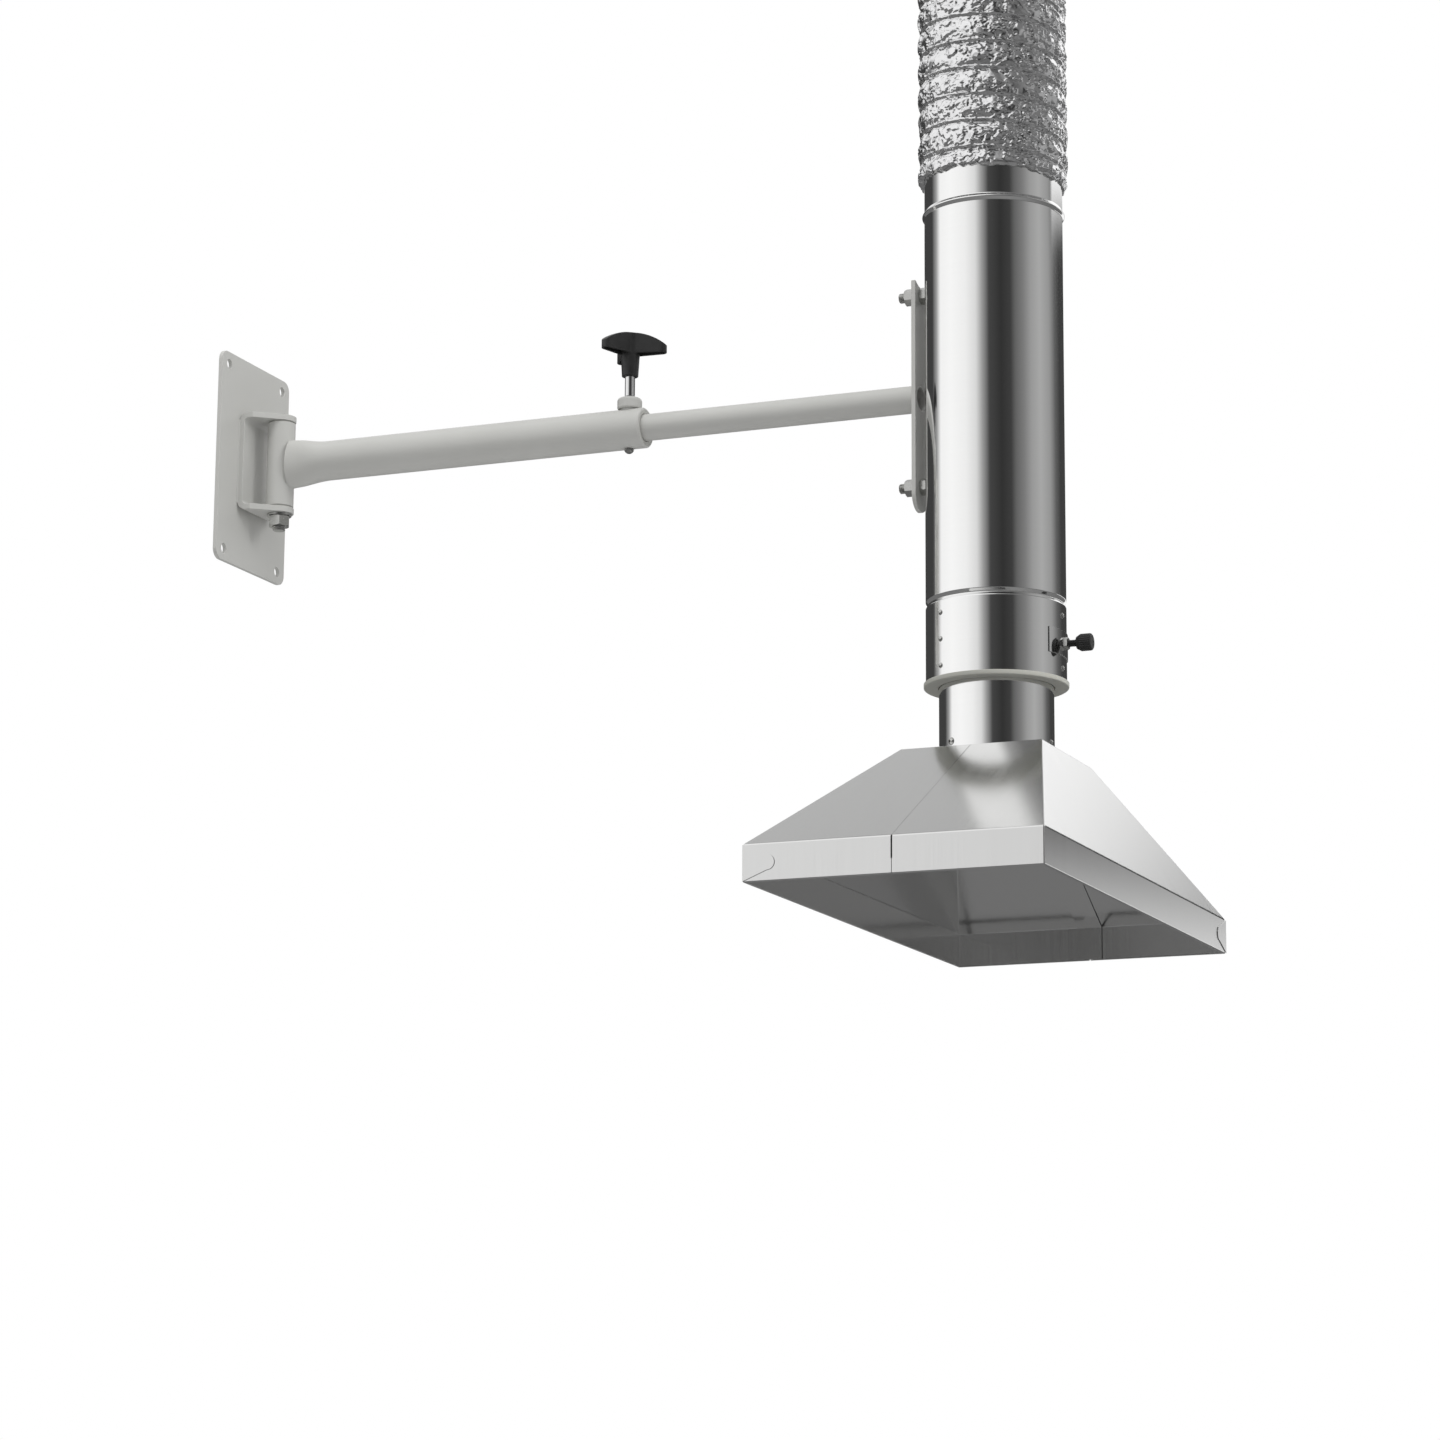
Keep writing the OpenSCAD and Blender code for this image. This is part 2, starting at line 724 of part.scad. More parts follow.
module clamp_grip() {
    rim_z = grip_top_z - grip_cap_h;
    color("dimgray") translate([clamp_x, 0, 0]) difference() {
        union() {
            difference() {
                translate([0, 0, rim_z]) grip_cap(0, 0);
                translate([0, 0, rim_z]) grip_cap(grip_wall, over);
            }
            rotate_extrude() polygon([
                [0, grip_low_z], [hub_d / 2, grip_low_z], [hub_top_d / 2, rim_z],
                [hub_top_d / 2, grip_top_z - grip_wall], [0, grip_top_z - grip_wall]
            ]);
        }
        translate([0, 0, grip_low_z - over])
            cylinder(d = stud_d + 2 * running_gap, h = grip_h / 2 + over + running_gap);
    }
}

// Inner tube with the long groove that keeps it from turning and stops it at both ends
module arm_inner_tube() {
    slot_w = guide_d + 2 * play;
    color("silver") difference() {
        along_x(inner_tube_x0)
            tube(inner_tube_r, inner_tube_r - inner_tube_wall, 0, carrier_x1 - inner_tube_x0);
        translate([0, 0, -inner_tube_r - over]) {
            translate([clamp_x, -slot_w / 2, 0])
                cube([arm_travel, slot_w, groove_depth + over]);
            for (x = [clamp_x, clamp_x + arm_travel])
                translate([x, 0, 0]) cylinder(d = slot_w, h = groove_depth + over);
        }
    }
}

module inner_end_bush() {
    color("ivory") along_x(inner_tube_x0)
        tube(tube_bore_r - play, inner_tube_r + running_gap, 0, end_bush_l);
}

// Upright plate with a round foot and a shallow notch on top
module pipe_bracket_plate() {
    foot_z = lower_stud_z - carrier_foot + carrier_w / 2;
    notch_r = (carrier_notch * carrier_notch + carrier_notch_w * carrier_notch_w / 4)
        / (2 * carrier_notch);
    color("gainsboro") along_x(carrier_x0) difference() {
        union() {
            translate([-carrier_top, -carrier_w / 2, 0])
                cube([carrier_top - foot_z, carrier_w, carrier_t]);
            translate([-foot_z, 0, 0]) cylinder(d = carrier_w, h = carrier_t);
        }
        translate([0, 0, -over]) {
            cylinder(r = inner_tube_r, h = carrier_t + 2 * over);
            translate([-carrier_top - notch_r + carrier_notch, 0, 0])
                cylinder(r = notch_r, h = carrier_t + 2 * over);
            for (z = [upper_stud_z, lower_stud_z]) translate([-z, 0, 0])
                cylinder(d = carrier_stud_d + 2 * hole_gap, h = carrier_t + 2 * over);
        }
    }
}

// Places the children at both studs, pointing along +X
module at_studs(x) {
    for (z = [upper_stud_z, lower_stud_z]) translate([0, 0, z]) along_x(x) children();
}

// Studs welded to the pipe: their ends follow its round wall
module bracket_studs() {
    start_x = carrier_x0 - carrier_washer_t - carrier_nut_h - carrier_stud_end;
    color("silver") difference() {
        at_studs(start_x) shank(carrier_stud_d, reach - pipe_r + 2 * bolt_chamfer - start_x);
        on_pipes(-pipe_drop) cylinder(r = pipe_r, h = pipe_drop + pipe_rise);
    }
}

module bracket_spacers() {
    color("silver") at_studs(carrier_x1)
        nut(carrier_nut_af, spacer_l, carrier_stud_d + 2 * running_gap);
}

module bracket_washers() {
    color("silver") at_studs(carrier_x0 - carrier_washer_t)
        tube(carrier_washer_d / 2, carrier_stud_d / 2 + hole_gap, 0, carrier_washer_t);
}

module bracket_nuts() {
    color("silver") at_studs(carrier_x0 - carrier_washer_t - carrier_nut_h)
        nut(carrier_nut_af, carrier_nut_h, carrier_stud_d + 2 * running_gap);
}

// Places the children on the rows and columns of rivets, without the one that the lock replaces
module at_rivets() {
    for (row = [0 : rivet_rows - 1], i = [0 : columns - 1])
        if (i > 0 || abs(row * rivet_pitch + rivet_low - lock_height) > lock_plate_h / 2)
            on_pipes(pipe_low_z + rivet_low + row * rivet_pitch)
                rotate(column_turn + i * full_turn / columns) along_x(0) children();
}

// Hole for the lock screw, from the pipes' axis outwards
module lock_hole(d) {
    on_pipes(lock_z) along_x(inner_pipe_r) cylinder(d = d, h = pipe_r);
}

module outer_pipe() {
    color("silver") difference() {
        on_pipes() rolled_pipe(pipe_r, pipe_wall, pipe_low_z, pipe_rise,
            [[stop_z, roll_h, -stop_depth], [bead_height, roll_h, bead_out]]);
        at_rivets() translate([0, 0, inner_pipe_r])
            cylinder(d = rivet_d + 2 * hole_gap, h = pipe_r);
        lock_hole(pad_d + 2 * play);
    }
}

// Plastic ring that carries the inner pipe in the outer pipe's mouth
module lower_guide_ring() {
    flange_r = pipe_r + ring_flange_w;
    low = pipe_low_z - ring_flange_t;
    body_r = pipe_bore_r - running_gap;
    color("ivory") difference() {
        on_pipes() rotate_extrude() polygon([
            [guide_bore_r + ring_chamfer, low], [flange_r - ring_chamfer, low],
            [flange_r, low + ring_chamfer], [flange_r, pipe_low_z], [body_r, pipe_low_z],
            [body_r, pipe_low_z + ring_body_h - ring_chamfer],
            [body_r - ring_chamfer, pipe_low_z + ring_body_h],
            [guide_bore_r, pipe_low_z + ring_body_h], [guide_bore_r, low + ring_chamfer]
        ]);
        at_rivets() translate([0, 0, pipe_r - rivet_l - play])
            cylinder(d = rivet_d + 2 * hole_gap, h = pipe_r);
        lock_hole(pad_d + 2 * play);
    }
}

module collar_rivets() {
    color("silver") at_rivets() {
        translate([0, 0, pipe_r - rivet_l]) cylinder(d = rivet_d, h = rivet_l + rivet_head_h / 2);
        difference() {
            translate([0, 0, pipe_r - head_sink_share * rivet_head_h])
                dome(rivet_head_d, (1 + head_sink_share) * rivet_head_h);
            rotate([0, quarter_turn, 0])
                cylinder(r = pipe_r, h = 2 * rivet_head_d, center = true);
        }
    }
}

// Curved plate on the pipe that backs the lock nut
module lock_plate() {
    half_angle = lock_plate_w / (PI * pipe_d) * half_turn;
    color("silver") difference() {
        on_pipes(lock_z - lock_plate_h / 2) rotate(-half_angle)
            rotate_extrude(angle = 2 * half_angle)
                translate([pipe_r + seat_gap, 0]) square([lock_plate_t, lock_plate_h]);
        lock_hole(lock_d + 2 * hole_gap);
    }
}

module lock_nut() {
    color("silver") on_pipes(lock_z) along_x(pipe_r + seat_gap + lock_plate_t)
        nut(lock_nut_af, lock_nut_h, lock_d + 2 * running_gap);
}

// Plug that the lock screw presses on the inner pipe
module lock_pad() {
    color("ivory") on_pipes() difference() {
        translate([0, 0, lock_z]) along_x(inner_pipe_r) cylinder(d = pad_d, h = play + pad_l);
        translate([0, 0, lock_z]) cylinder(r = pad_low_r, h = 2 * pad_d, center = true);
    }
}

module lock_screw() {
    start_x = reach + pad_low_r + pad_l + running_gap;
    color("dimgray") translate([0, 0, lock_z]) along_x(start_x)
        shank(lock_d, knob_x + knob_l / 2 - start_x);
}

// Knob with fluted sides and a conical shoulder
module lock_knob() {
    color("dimgray") translate([0, 0, lock_z]) along_x(knob_x) difference() {
        rotate_extrude() polygon([
            [0, knob_l], [knob_d / 2 - edge_r, knob_l], [knob_d / 2, knob_l - edge_r],
            [knob_d / 2, knob_shoulder_l], [knob_d / 2 - knob_shoulder_l / 2, 0], [0, 0]
        ]);
        for (i = [0 : knob_flutes - 1]) rotate(i * full_turn / knob_flutes)
            translate([knob_d / 2 + flute_r - flute_depth, 0, -over])
                cylinder(r = flute_r, h = knob_l + 2 * over);
        translate([0, 0, -over])
            cylinder(d = lock_d + 2 * running_gap, h = knob_l / 2 + over + running_gap);
    }
}

module upper_guide_ring() {
    outer_r = pipe_bore_r - play;
    bore_r = inner_pipe_r + play;
    high = upper_ring_z + upper_ring_h;
    color("ivory") on_pipes() rotate_extrude() polygon([
        [bore_r, upper_ring_z], [outer_r - ring_chamfer, upper_ring_z],
        [outer_r, upper_ring_z + ring_chamfer], [outer_r, high - ring_chamfer],
        [outer_r - ring_chamfer, high], [bore_r, high]
    ]);
}

// Inner pipe: a bead and a lip hold the upper ring between them
module inner_pipe() {
    bead_z = upper_ring_z - play - rest_bead_h / 2;
    color("silver") difference() {
        on_pipes() {
            rolled_pipe(inner_pipe_r, inner_pipe_wall, hood_top_z, inner_pipe_top,
                [[bead_z, rest_bead_h, rest_bead_out]]);
            tube(inner_pipe_r + lip_w, inner_bore_r, inner_pipe_top - inner_pipe_wall,
                 inner_pipe_top);
        }
        at_columns(neck_screw_z) cylinder(d = neck_screw_d + 2 * hole_gap, h = pipe_r);
    }
}

// Collar inside the pipe with a flange that carries the hood's top
module hood_neck() {
    flange_z = hood_top_z - sheet_t;
    color("silver") difference() {
        on_pipes() {
            tube(neck_r, neck_r - neck_wall, flange_z - neck_wall, hood_top_z + neck_h);
            tube(neck_r + neck_flange_w, neck_r - neck_wall, flange_z - neck_wall, flange_z);
        }
        at_columns(neck_screw_z) cylinder(d = neck_screw_d + 2 * hole_gap, h = pipe_r);
    }
}

module hood_screws() {
    start_r = neck_r - 2 * neck_wall;
    color("silver") at_columns(neck_screw_z) {
        translate([0, 0, start_r])
            cylinder(d = neck_screw_d, h = inner_pipe_r + neck_head_h / 2 - start_r);
        difference() {
            translate([0, 0, inner_pipe_r - head_sink_share * neck_head_h])
                dome(neck_head_d, (1 + head_sink_share) * neck_head_h);
            rotate([0, quarter_turn, 0])
                cylinder(r = inner_pipe_r, h = 2 * neck_head_d, center = true);
        }
    }
}

// The hood's sloping body as a solid, drawn in by an inset measured through the sheet
module slope_solid(inset) {
    run_x = (hood_x - hood_top_x) / 2;
    run_y = (hood_y - hood_top_y) / 2;
    in_x = inset * norm([run_x, slope_h]) / slope_h;
    in_y = inset * norm([run_y, slope_h]) / slope_h;
    top = [hood_top_x / 2 - in_x, hood_top_y / 2 - in_y];
    low = [hood_x / 2 - in_x, hood_y / 2 - in_y];
    corners = [[-1, -1], [1, -1], [1, 1], [-1, 1]];
    polyhedron(points = concat(
        [for (c = corners) [c[0] * low[0], c[1] * low[1], slope_low_z]],
        [for (c = corners) [c[0] * top[0], c[1] * top[1], hood_top_z]]
    ), faces = [[0, 1, 2, 3], [7, 6, 5, 4], [1, 0, 4, 5], [2, 1, 5, 6], [3, 2, 6, 7], [0, 3, 7, 4]]);
}

// An upright box round the pipes' axis between two heights
module hood_box(x, y, z0, z1) {
    translate([-x / 2, -y / 2, z0]) cube([x, y, z1 - z0]);
}

// The space under the sheet, drawn in by an inset
module hood_inside(inset) {
    difference() {
        slope_solid(inset);
        hood_box(hood_x, hood_y, hood_top_z - inset, hood_top_z + over);
    }
    hood_box(hood_x - 2 * inset, hood_y - 2 * inset, rim_low_z - over, slope_low_z);
}

// The whole sheet before it is cut in two
module hood_sheet() {
    difference() {
        union() {
            slope_solid(0);
            hood_box(hood_x, hood_y, rim_low_z, slope_low_z);
        }
        hood_inside(sheet_t);
        translate([0, 0, hood_top_z - 2 * sheet_t])
            cylinder(r = neck_r + running_gap, h = 3 * sheet_t);
    }
    difference() {
        hood_box(hood_x, hood_y, rim_low_z, rim_low_z + sheet_t);
        hood_box(hood_x - 2 * hem_w, hood_y - 2 * hem_w, rim_low_z - over,
                 rim_low_z + sheet_t + over);
    }
}

// Straps inside the front and back seams
module seam_straps() {
    low = rim_low_z + sheet_t;
    high = hood_top_z - sheet_t;
    side = neck_r + neck_flange_w;
    intersection() {
        difference() {
            hood_inside(sheet_t);
            hood_inside(2 * sheet_t);
        }
        for (s = [0, 1]) mirror([0, s, 0])
            translate([-strap_w / 2, side, low]) cube([strap_w, hood_y, high - low]);
    }
}

// A tab that wraps round a corner: full height at the corner, with a round nose
module corner_tab() {
    nose_r = tab_nose_h / 2;
    rotate([quarter_turn, 0, 0]) linear_extrude(sheet_t) {
        translate([tab_l - nose_r, 0]) circle(nose_r);
        polygon([
            [0, -rim_h / 2], [0, rim_h / 2],
            [tab_l - nose_r, nose_r], [tab_l - nose_r, -nose_r]
        ]);
    }
}

// The slits in the rim at the front and back seams
module seam_slits() {
    translate([-slit_w / 2, -hood_y / 2 - over, slope_low_z - slit_h])
        cube([slit_w, sheet_t + over, slit_h]);
    translate([-slit_w / 2, hood_y / 2 - sheet_t, rim_low_z - over])
        cube([slit_w, sheet_t + over, rim_h + over]);
}

module hood_left_half() {
    rim_mid_z = rim_low_z + rim_h / 2;
    color("silver") on_pipes() {
        difference() {
            hood_sheet();
            translate([-seam_gap / 2, -hood_y, rim_low_z - over])
                cube([hood_x, 2 * hood_y, 2 * slope_h + rim_h]);
            seam_slits();
        }
        seam_straps();
        for (s = [0, 1]) mirror([0, s, 0])
            translate([-hood_x / 2, -hood_y / 2, rim_mid_z]) corner_tab();
    }
}

module hood_right_half() {
    rim_mid_z = rim_low_z + rim_h / 2;
    color("silver") on_pipes() {
        difference() {
            hood_sheet();
            translate([seam_gap / 2 - hood_x, -hood_y, rim_low_z - over])
                cube([hood_x, 2 * hood_y, 2 * slope_h + rim_h]);
            seam_slits();
        }
        translate([hood_x / 2, hood_y / 2, rim_mid_z])
            rotate(-quarter_turn) mirror([0, 1, 0]) corner_tab();
    }
}

// Radius of the foil at height z and angle a: the wire falls as the angle grows
function foil_r(z, a) =
    let (turns = (z - duct_low) / duct_pitch + a / full_turn,
         ridge = pow((1 + cos(full_turn * turns)) / 2, duct_ridge_power),
         fade = min(1, max(0, (duct_top_z - cuff_l - z) / (fade_share * duct_pitch))))
    valley_r + (duct_ridge_r - valley_r) * ridge * fade;

// Ribbed foil hose with its bore: one wire runs up it as a helix
module foil_duct() {
    rings = round(duct_l / duct_pitch * duct_steps);
    outside = [
        for (k = [0 : rings], i = [0 : duct_sides - 1])
            let (z = duct_low + duct_l * k / rings, a = i * full_turn / duct_sides)
            [foil_r(z, a) * cos(a), foil_r(z, a) * sin(a), z]
    ];
    inside = [
        for (z = [duct_top_z, duct_low], i = [0 : duct_sides - 1])
            let (a = i * full_turn / duct_sides)
            [duct_bore_r * cos(a), duct_bore_r * sin(a), z]
    ];
    bands = rings + 3;
    faces = [
        for (k = [0 : bands - 1], i = [0 : duct_sides - 1])
            let (j = (i + 1) % duct_sides, low = k * duct_sides, high = (k + 1) % bands * duct_sides)
            each [[low + i, high + i, low + j], [low + j, high + i, high + j]]
    ];
    color("lightgray") on_pipes()
        polyhedron(points = concat(outside, inside), faces = faces, convexity = 4);
}

// Round band with a screw housing that holds the cuff on the coupler
module duct_clamp() {
    band_r = valley_r + running_gap;
    band_z = duct_top_z - band_inset - band_w;
    color("silver") on_pipes(band_z) {
        tube(band_r + band_t, band_r, 0, band_w);
        translate([0, band_r + band_t / 2, 0]) difference() {
            translate([-housing_l / 2, 0, 0]) cube([housing_l, housing_h, band_w]);
            translate([0, -band_r - band_t / 2, -over])
                cylinder(r = band_r + band_t / 2, h = band_w + 2 * over);
        }
        translate([housing_l / 2 - over, band_r + band_t / 2 + housing_h / 2, band_w / 2])
            along_x(0) nut(band_screw_af, band_screw_out + over, band_screw_af / 2);
    }
}

// Short pipe that joins the duct to the building's duct
module duct_coupler() {
    stop_h = roll_h / 2;
    stop_middle = duct_top_z + stop_h / 2 + play;
    color("silver") on_pipes() rolled_pipe(coupler_r, coupler_wall, duct_top_z - coupler_in,
        duct_top_z + coupler_out, [[stop_middle, stop_h, valley_r - coupler_r]]);
}

wall_plate();
pivot_bracket();
pivot_bolt();
pivot_washer();
pivot_nut();
pivot_sleeve();
pivot_bushes();
arm_outer_tube();
arm_guide_bush();
clamp_boss();
guide_screw();
clamp_shoe();
clamp_stud();
clamp_grip();
arm_inner_tube();
inner_end_bush();
pipe_bracket_plate();
bracket_studs();
bracket_spacers();
bracket_washers();
bracket_nuts();
outer_pipe();
lower_guide_ring();
collar_rivets();
lock_plate();
lock_nut();
foil_duct();
duct_clamp();
duct_coupler();
lock_pad();
lock_screw();
lock_knob();
upper_guide_ring();
inner_pipe();
hood_neck();
hood_screws();
hood_left_half();
hood_right_half();
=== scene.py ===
"""Fume extraction arm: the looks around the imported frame, and the studio that it is seen in.

Lengths are in metres, written as millimetres times MM. The origin is the centre of the wall
plate's back face, +X runs along the arm away from the wall, and +Z is up.
"""

import json
from math import acos, atan2, cos, hypot, pi, radians, sin, sqrt, tan

import bmesh
import bpy
import numpy as np
from mathutils import Matrix, Vector, kdtree


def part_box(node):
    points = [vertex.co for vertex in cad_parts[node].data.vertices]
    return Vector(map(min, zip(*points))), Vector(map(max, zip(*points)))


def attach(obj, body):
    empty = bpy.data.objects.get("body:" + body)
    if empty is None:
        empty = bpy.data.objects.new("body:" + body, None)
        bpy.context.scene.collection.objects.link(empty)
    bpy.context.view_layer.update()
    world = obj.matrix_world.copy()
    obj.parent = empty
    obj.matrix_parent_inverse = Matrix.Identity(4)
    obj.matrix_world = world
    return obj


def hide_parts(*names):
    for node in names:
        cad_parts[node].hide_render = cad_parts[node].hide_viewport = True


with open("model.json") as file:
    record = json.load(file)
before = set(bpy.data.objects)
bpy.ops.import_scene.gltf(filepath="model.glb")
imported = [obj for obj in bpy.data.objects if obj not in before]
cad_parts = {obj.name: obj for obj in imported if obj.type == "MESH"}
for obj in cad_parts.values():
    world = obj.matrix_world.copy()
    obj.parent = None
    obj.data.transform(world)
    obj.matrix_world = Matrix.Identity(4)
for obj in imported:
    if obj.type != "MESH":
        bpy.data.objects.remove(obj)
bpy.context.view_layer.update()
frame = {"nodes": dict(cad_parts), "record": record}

MM = 0.001
TURN = 2 * pi
TINY = 1e-6

# Places that the frame gives
PIPE_LOW, PIPE_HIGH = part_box("outer_pipe")
TUBE_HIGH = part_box("arm_outer_tube")[1]
INNER_LOW, INNER_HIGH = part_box("inner_pipe")
CARRIER_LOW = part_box("pipe_bracket_plate")[0]
BOSS_LOW, BOSS_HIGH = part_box("clamp_boss")
SLEEVE_LOW, SLEEVE_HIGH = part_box("pivot_sleeve")
DUCT_LOW, DUCT_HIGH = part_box("foil_duct")
HOOD_LOW, HOOD_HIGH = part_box("hood_left_half")
HOOD_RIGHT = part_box("hood_right_half")[1].x
PIPE_X = (PIPE_LOW.x + PIPE_HIGH.x) / 2
CLAMP_X = (BOSS_LOW.x + BOSS_HIGH.x) / 2
PIVOT_X = (SLEEVE_LOW.x + SLEEVE_HIGH.x) / 2
SLEEVE_R = (SLEEVE_HIGH.x - SLEEVE_LOW.x) / 2

# Sizes of the pieces that are modelled here
ARM_TUBE_R = 24.15 * MM
ARM_TUBE_WALL = 3 * MM
PRESS_H = 61 * MM
PRESS_W = 36 * MM
PRESS_START = 15 * MM
PRESS_END = 68 * MM
INNER_TUBE_R = 16 * MM
PIPE_R = 80 * MM
INNER_PIPE_R = 65.25 * MM
SHEET = 1 * MM
STOP_HEIGHT = 90.5 * MM
ROLL_H = 9 * MM
STOP_DEPTH = 3 * MM
BEAD_Z = 208.5 * MM
BEAD_OUT = 2.5 * MM
RIVET_COLUMN_TURN = radians(-2.5)
RIVET_ROWS = (11.5 * MM, 42 * MM, 72.5 * MM)
PIPE_SIDES = 256
AXIS_R = 0.4 * MM
WELD_R = 1.3 * MM


# Mesh tools

def shade(mesh, crease):
    """Smooth shading with sharp edges where faces meet at more than the crease angle."""
    mesh.shade_smooth()
    mesh.set_sharp_from_angle(angle=radians(crease))


def new_object(name, mesh):
    obj = bpy.data.objects.new(name, mesh)
    bpy.context.collection.objects.link(obj)
    return obj


def make(name, points, faces, crease=30):
    """An object from points and faces, which are turned outwards."""
    mesh = bpy.data.meshes.new(name)
    mesh.from_pydata([tuple(p) for p in points], [], faces)
    bm = bmesh.new()
    bm.from_mesh(mesh)
    bmesh.ops.recalc_face_normals(bm, faces=bm.faces)
    bm.to_mesh(mesh)
    bm.free()
    shade(mesh, crease)
    return new_object(name, mesh)


def move(obj, matrix):
    """Moves the mesh and leaves the object at the origin."""
    obj.data.transform(matrix)
    return obj


def move_x(obj, x):
    """Moves a piece that was built round the Z axis to another upright axis."""
    return move(obj, Matrix.Translation((x, 0, 0)))


def along_x(x, z=0):
    """Turns a piece that was built along +Z to point along +X, and places it."""
    return Matrix.Translation((x, 0, z)) @ Matrix.Rotation(pi / 2, 4, "Y")


def spokes(sides):
    """The angles of the points round a ring."""
    return [TURN * j / sides for j in range(sides)]


def from_bmesh(name, bm):
    """An object from a bmesh, which is freed."""
    mesh = bpy.data.meshes.new(name)
    bm.to_mesh(mesh)
    bm.free()
    return new_object(name, mesh)


def join(name, parts):
    """One object from several, whose meshes keep their places."""
    bm = bmesh.new()
    for part in parts:
        bm.from_mesh(part.data)
    for part in parts:
        bpy.data.objects.remove(part)
    return from_bmesh(name, bm)


def modify(obj, kind, **settings):
    """Adds a modifier and sets its properties."""
    modifier = obj.modifiers.new(kind.lower(), kind)
    for key, value in settings.items():
        setattr(modifier, key, value)


def bake(obj, crease=30):
    """Replaces the mesh by what its modifiers make of it."""
    graph = bpy.context.evaluated_depsgraph_get()
    mesh = bpy.data.meshes.new_from_object(obj.evaluated_get(graph))
    obj.modifiers.clear()
    obj.data = mesh
    shade(mesh, crease)
    return obj


def soften(obj, width, crease=30, segments=3, least=28):
    """Rounds the edges that are sharper than the least angle, and keeps flat faces flat."""
    modify(obj, "BEVEL", width=width, segments=segments, limit_method="ANGLE",
           angle_limit=radians(least), use_clamp_overlap=True)
    bake(obj, crease)
    modify(obj, "WEIGHTED_NORMAL", keep_sharp=True)
    return obj


def rounded(corners, closed=True, steps=4):
    """A flat outline with round corners. A corner is (a, b) or (a, b, radius)."""
    points = []
    count = len(corners)
    for i, corner in enumerate(corners):
        here = Vector(corner[:2])
        radius = corner[2] if len(corner) > 2 else 0
        if radius == 0 or (not closed and i in (0, count - 1)):
            points.append((here.x, here.y))
            continue
        before = Vector(corners[i - 1][:2]) - here
        after = Vector(corners[(i + 1) % count][:2]) - here
        half = before.angle(after) / 2
        reach = min(radius / tan(half), before.length / 2, after.length / 2)
        bend = reach * tan(half)
        middle = here + (before.normalized() + after.normalized()).normalized() * bend / sin(half)
        start = here + before.normalized() * reach - middle
        end = here + after.normalized() * reach - middle
        sweep = atan2(start.x * end.y - start.y * end.x, start.dot(end))
        for k in range(steps + 1):
            turned = Matrix.Rotation(sweep * k / steps, 2) @ start
            points.append((middle.x + turned.x, middle.y + turned.y))
    return points


def grid_faces(rows, columns, closed=False):
    """Quads of a grid whose columns form rings. Its rows close too, or end in flat caps."""
    faces = []
    for i in range(rows if closed else rows - 1):
        for j in range(columns):
            low, high, side = i * columns, (i + 1) % rows * columns, (j + 1) % columns
            faces.append((low + j, low + side, high + side, high + j))
    if not closed:
        faces.append(tuple(range(columns)))
        faces.append(tuple(range((rows - 1) * columns, rows * columns)))
    return faces


def guarded(profile, closed):
    """Adds points close to the ends of long stretches, so that these stay flat in the shading."""
    guard, long = 0.6 * MM, 4 * MM
    dense = []
    pairs = list(zip(profile, profile[1:] + (profile[:1] if closed else [])))
    for (r0, z0), (r1, z1) in pairs:
        dense.append((r0, z0))
        length = hypot(r1 - r0, z1 - z0)
        if length > long:
            for share in (guard / length, 1 - guard / length):
                dense.append((r0 + (r1 - r0) * share, z0 + (z1 - z0) * share))
    return dense if closed else dense + [profile[-1]]


def revolve(name, profile, sides=96, closed=True, crease=30):
    """Turns a profile of (radius, height) round the Z axis. An open one is closed by its ends."""
    profile = guarded(list(profile), closed)
    points = [(r * cos(a), r * sin(a), z) for r, z in profile for a in spokes(sides)]
    return make(name, points, grid_faces(len(profile), sides, closed), crease)


def weld(name, path, radius, closed=False):
    """A round bead along a path, with a weld's ripples."""
    sides, ripple, pitch = 10, 0.12, 1.6 * MM
    path = [Vector(p) for p in path]
    count = len(path)
    points, run = [], 0.0
    side = None
    for i, here in enumerate(path):
        before = path[i - 1] if closed or i > 0 else here
        after = path[(i + 1) % count] if closed or i < count - 1 else here
        tangent = (after - before).normalized()
        if side is None:
            side = tangent.orthogonal().normalized()
        side = (side - tangent * side.dot(tangent)).normalized()
        other = tangent.cross(side)
        if i > 0:
            run += (here - path[i - 1]).length
        size = radius * (1 + ripple * sin(TURN * run / pitch))
        for a in spokes(sides):
            points.append(here + (side * cos(a) + other * sin(a)) * size)
    return make(name, points, grid_faces(count, sides, closed), 60)


def threaded(name, radius, length, pitch, depth, chamfer, sides=48):
    """A threaded rod from z = 0 to its length, with chamfered ends."""
    rows_per_turn = 8
    rows = max(2, int(length / pitch * rows_per_turn))
    points = []
    for i in range(rows + 1):
        z = length * i / rows
        limit = radius - chamfer + min(z, length - z)
        for j, a in enumerate(spokes(sides)):
            tooth = abs((z / pitch - j / sides) % 1 - 0.5) * 2
            r = min(radius - depth * tooth, limit)
            points.append((r * cos(a), r * sin(a), z))
    return make(name, points, grid_faces(rows + 1, sides), 50)


def dressed(node_name, name, width):
    """A copy of a frame node with clean flat faces and softened edges."""
    mesh = frame["nodes"][node_name].data.copy()
    mesh.name = name
    bm = bmesh.new()
    bm.from_mesh(mesh)
    bmesh.ops.remove_doubles(bm, verts=bm.verts, dist=TINY)
    bmesh.ops.dissolve_limit(bm, angle_limit=radians(1), verts=bm.verts, edges=bm.edges)
    bm.to_mesh(mesh)
    bm.free()
    mesh.materials.clear()
    return soften(new_object(name, mesh), width)


# Material tools

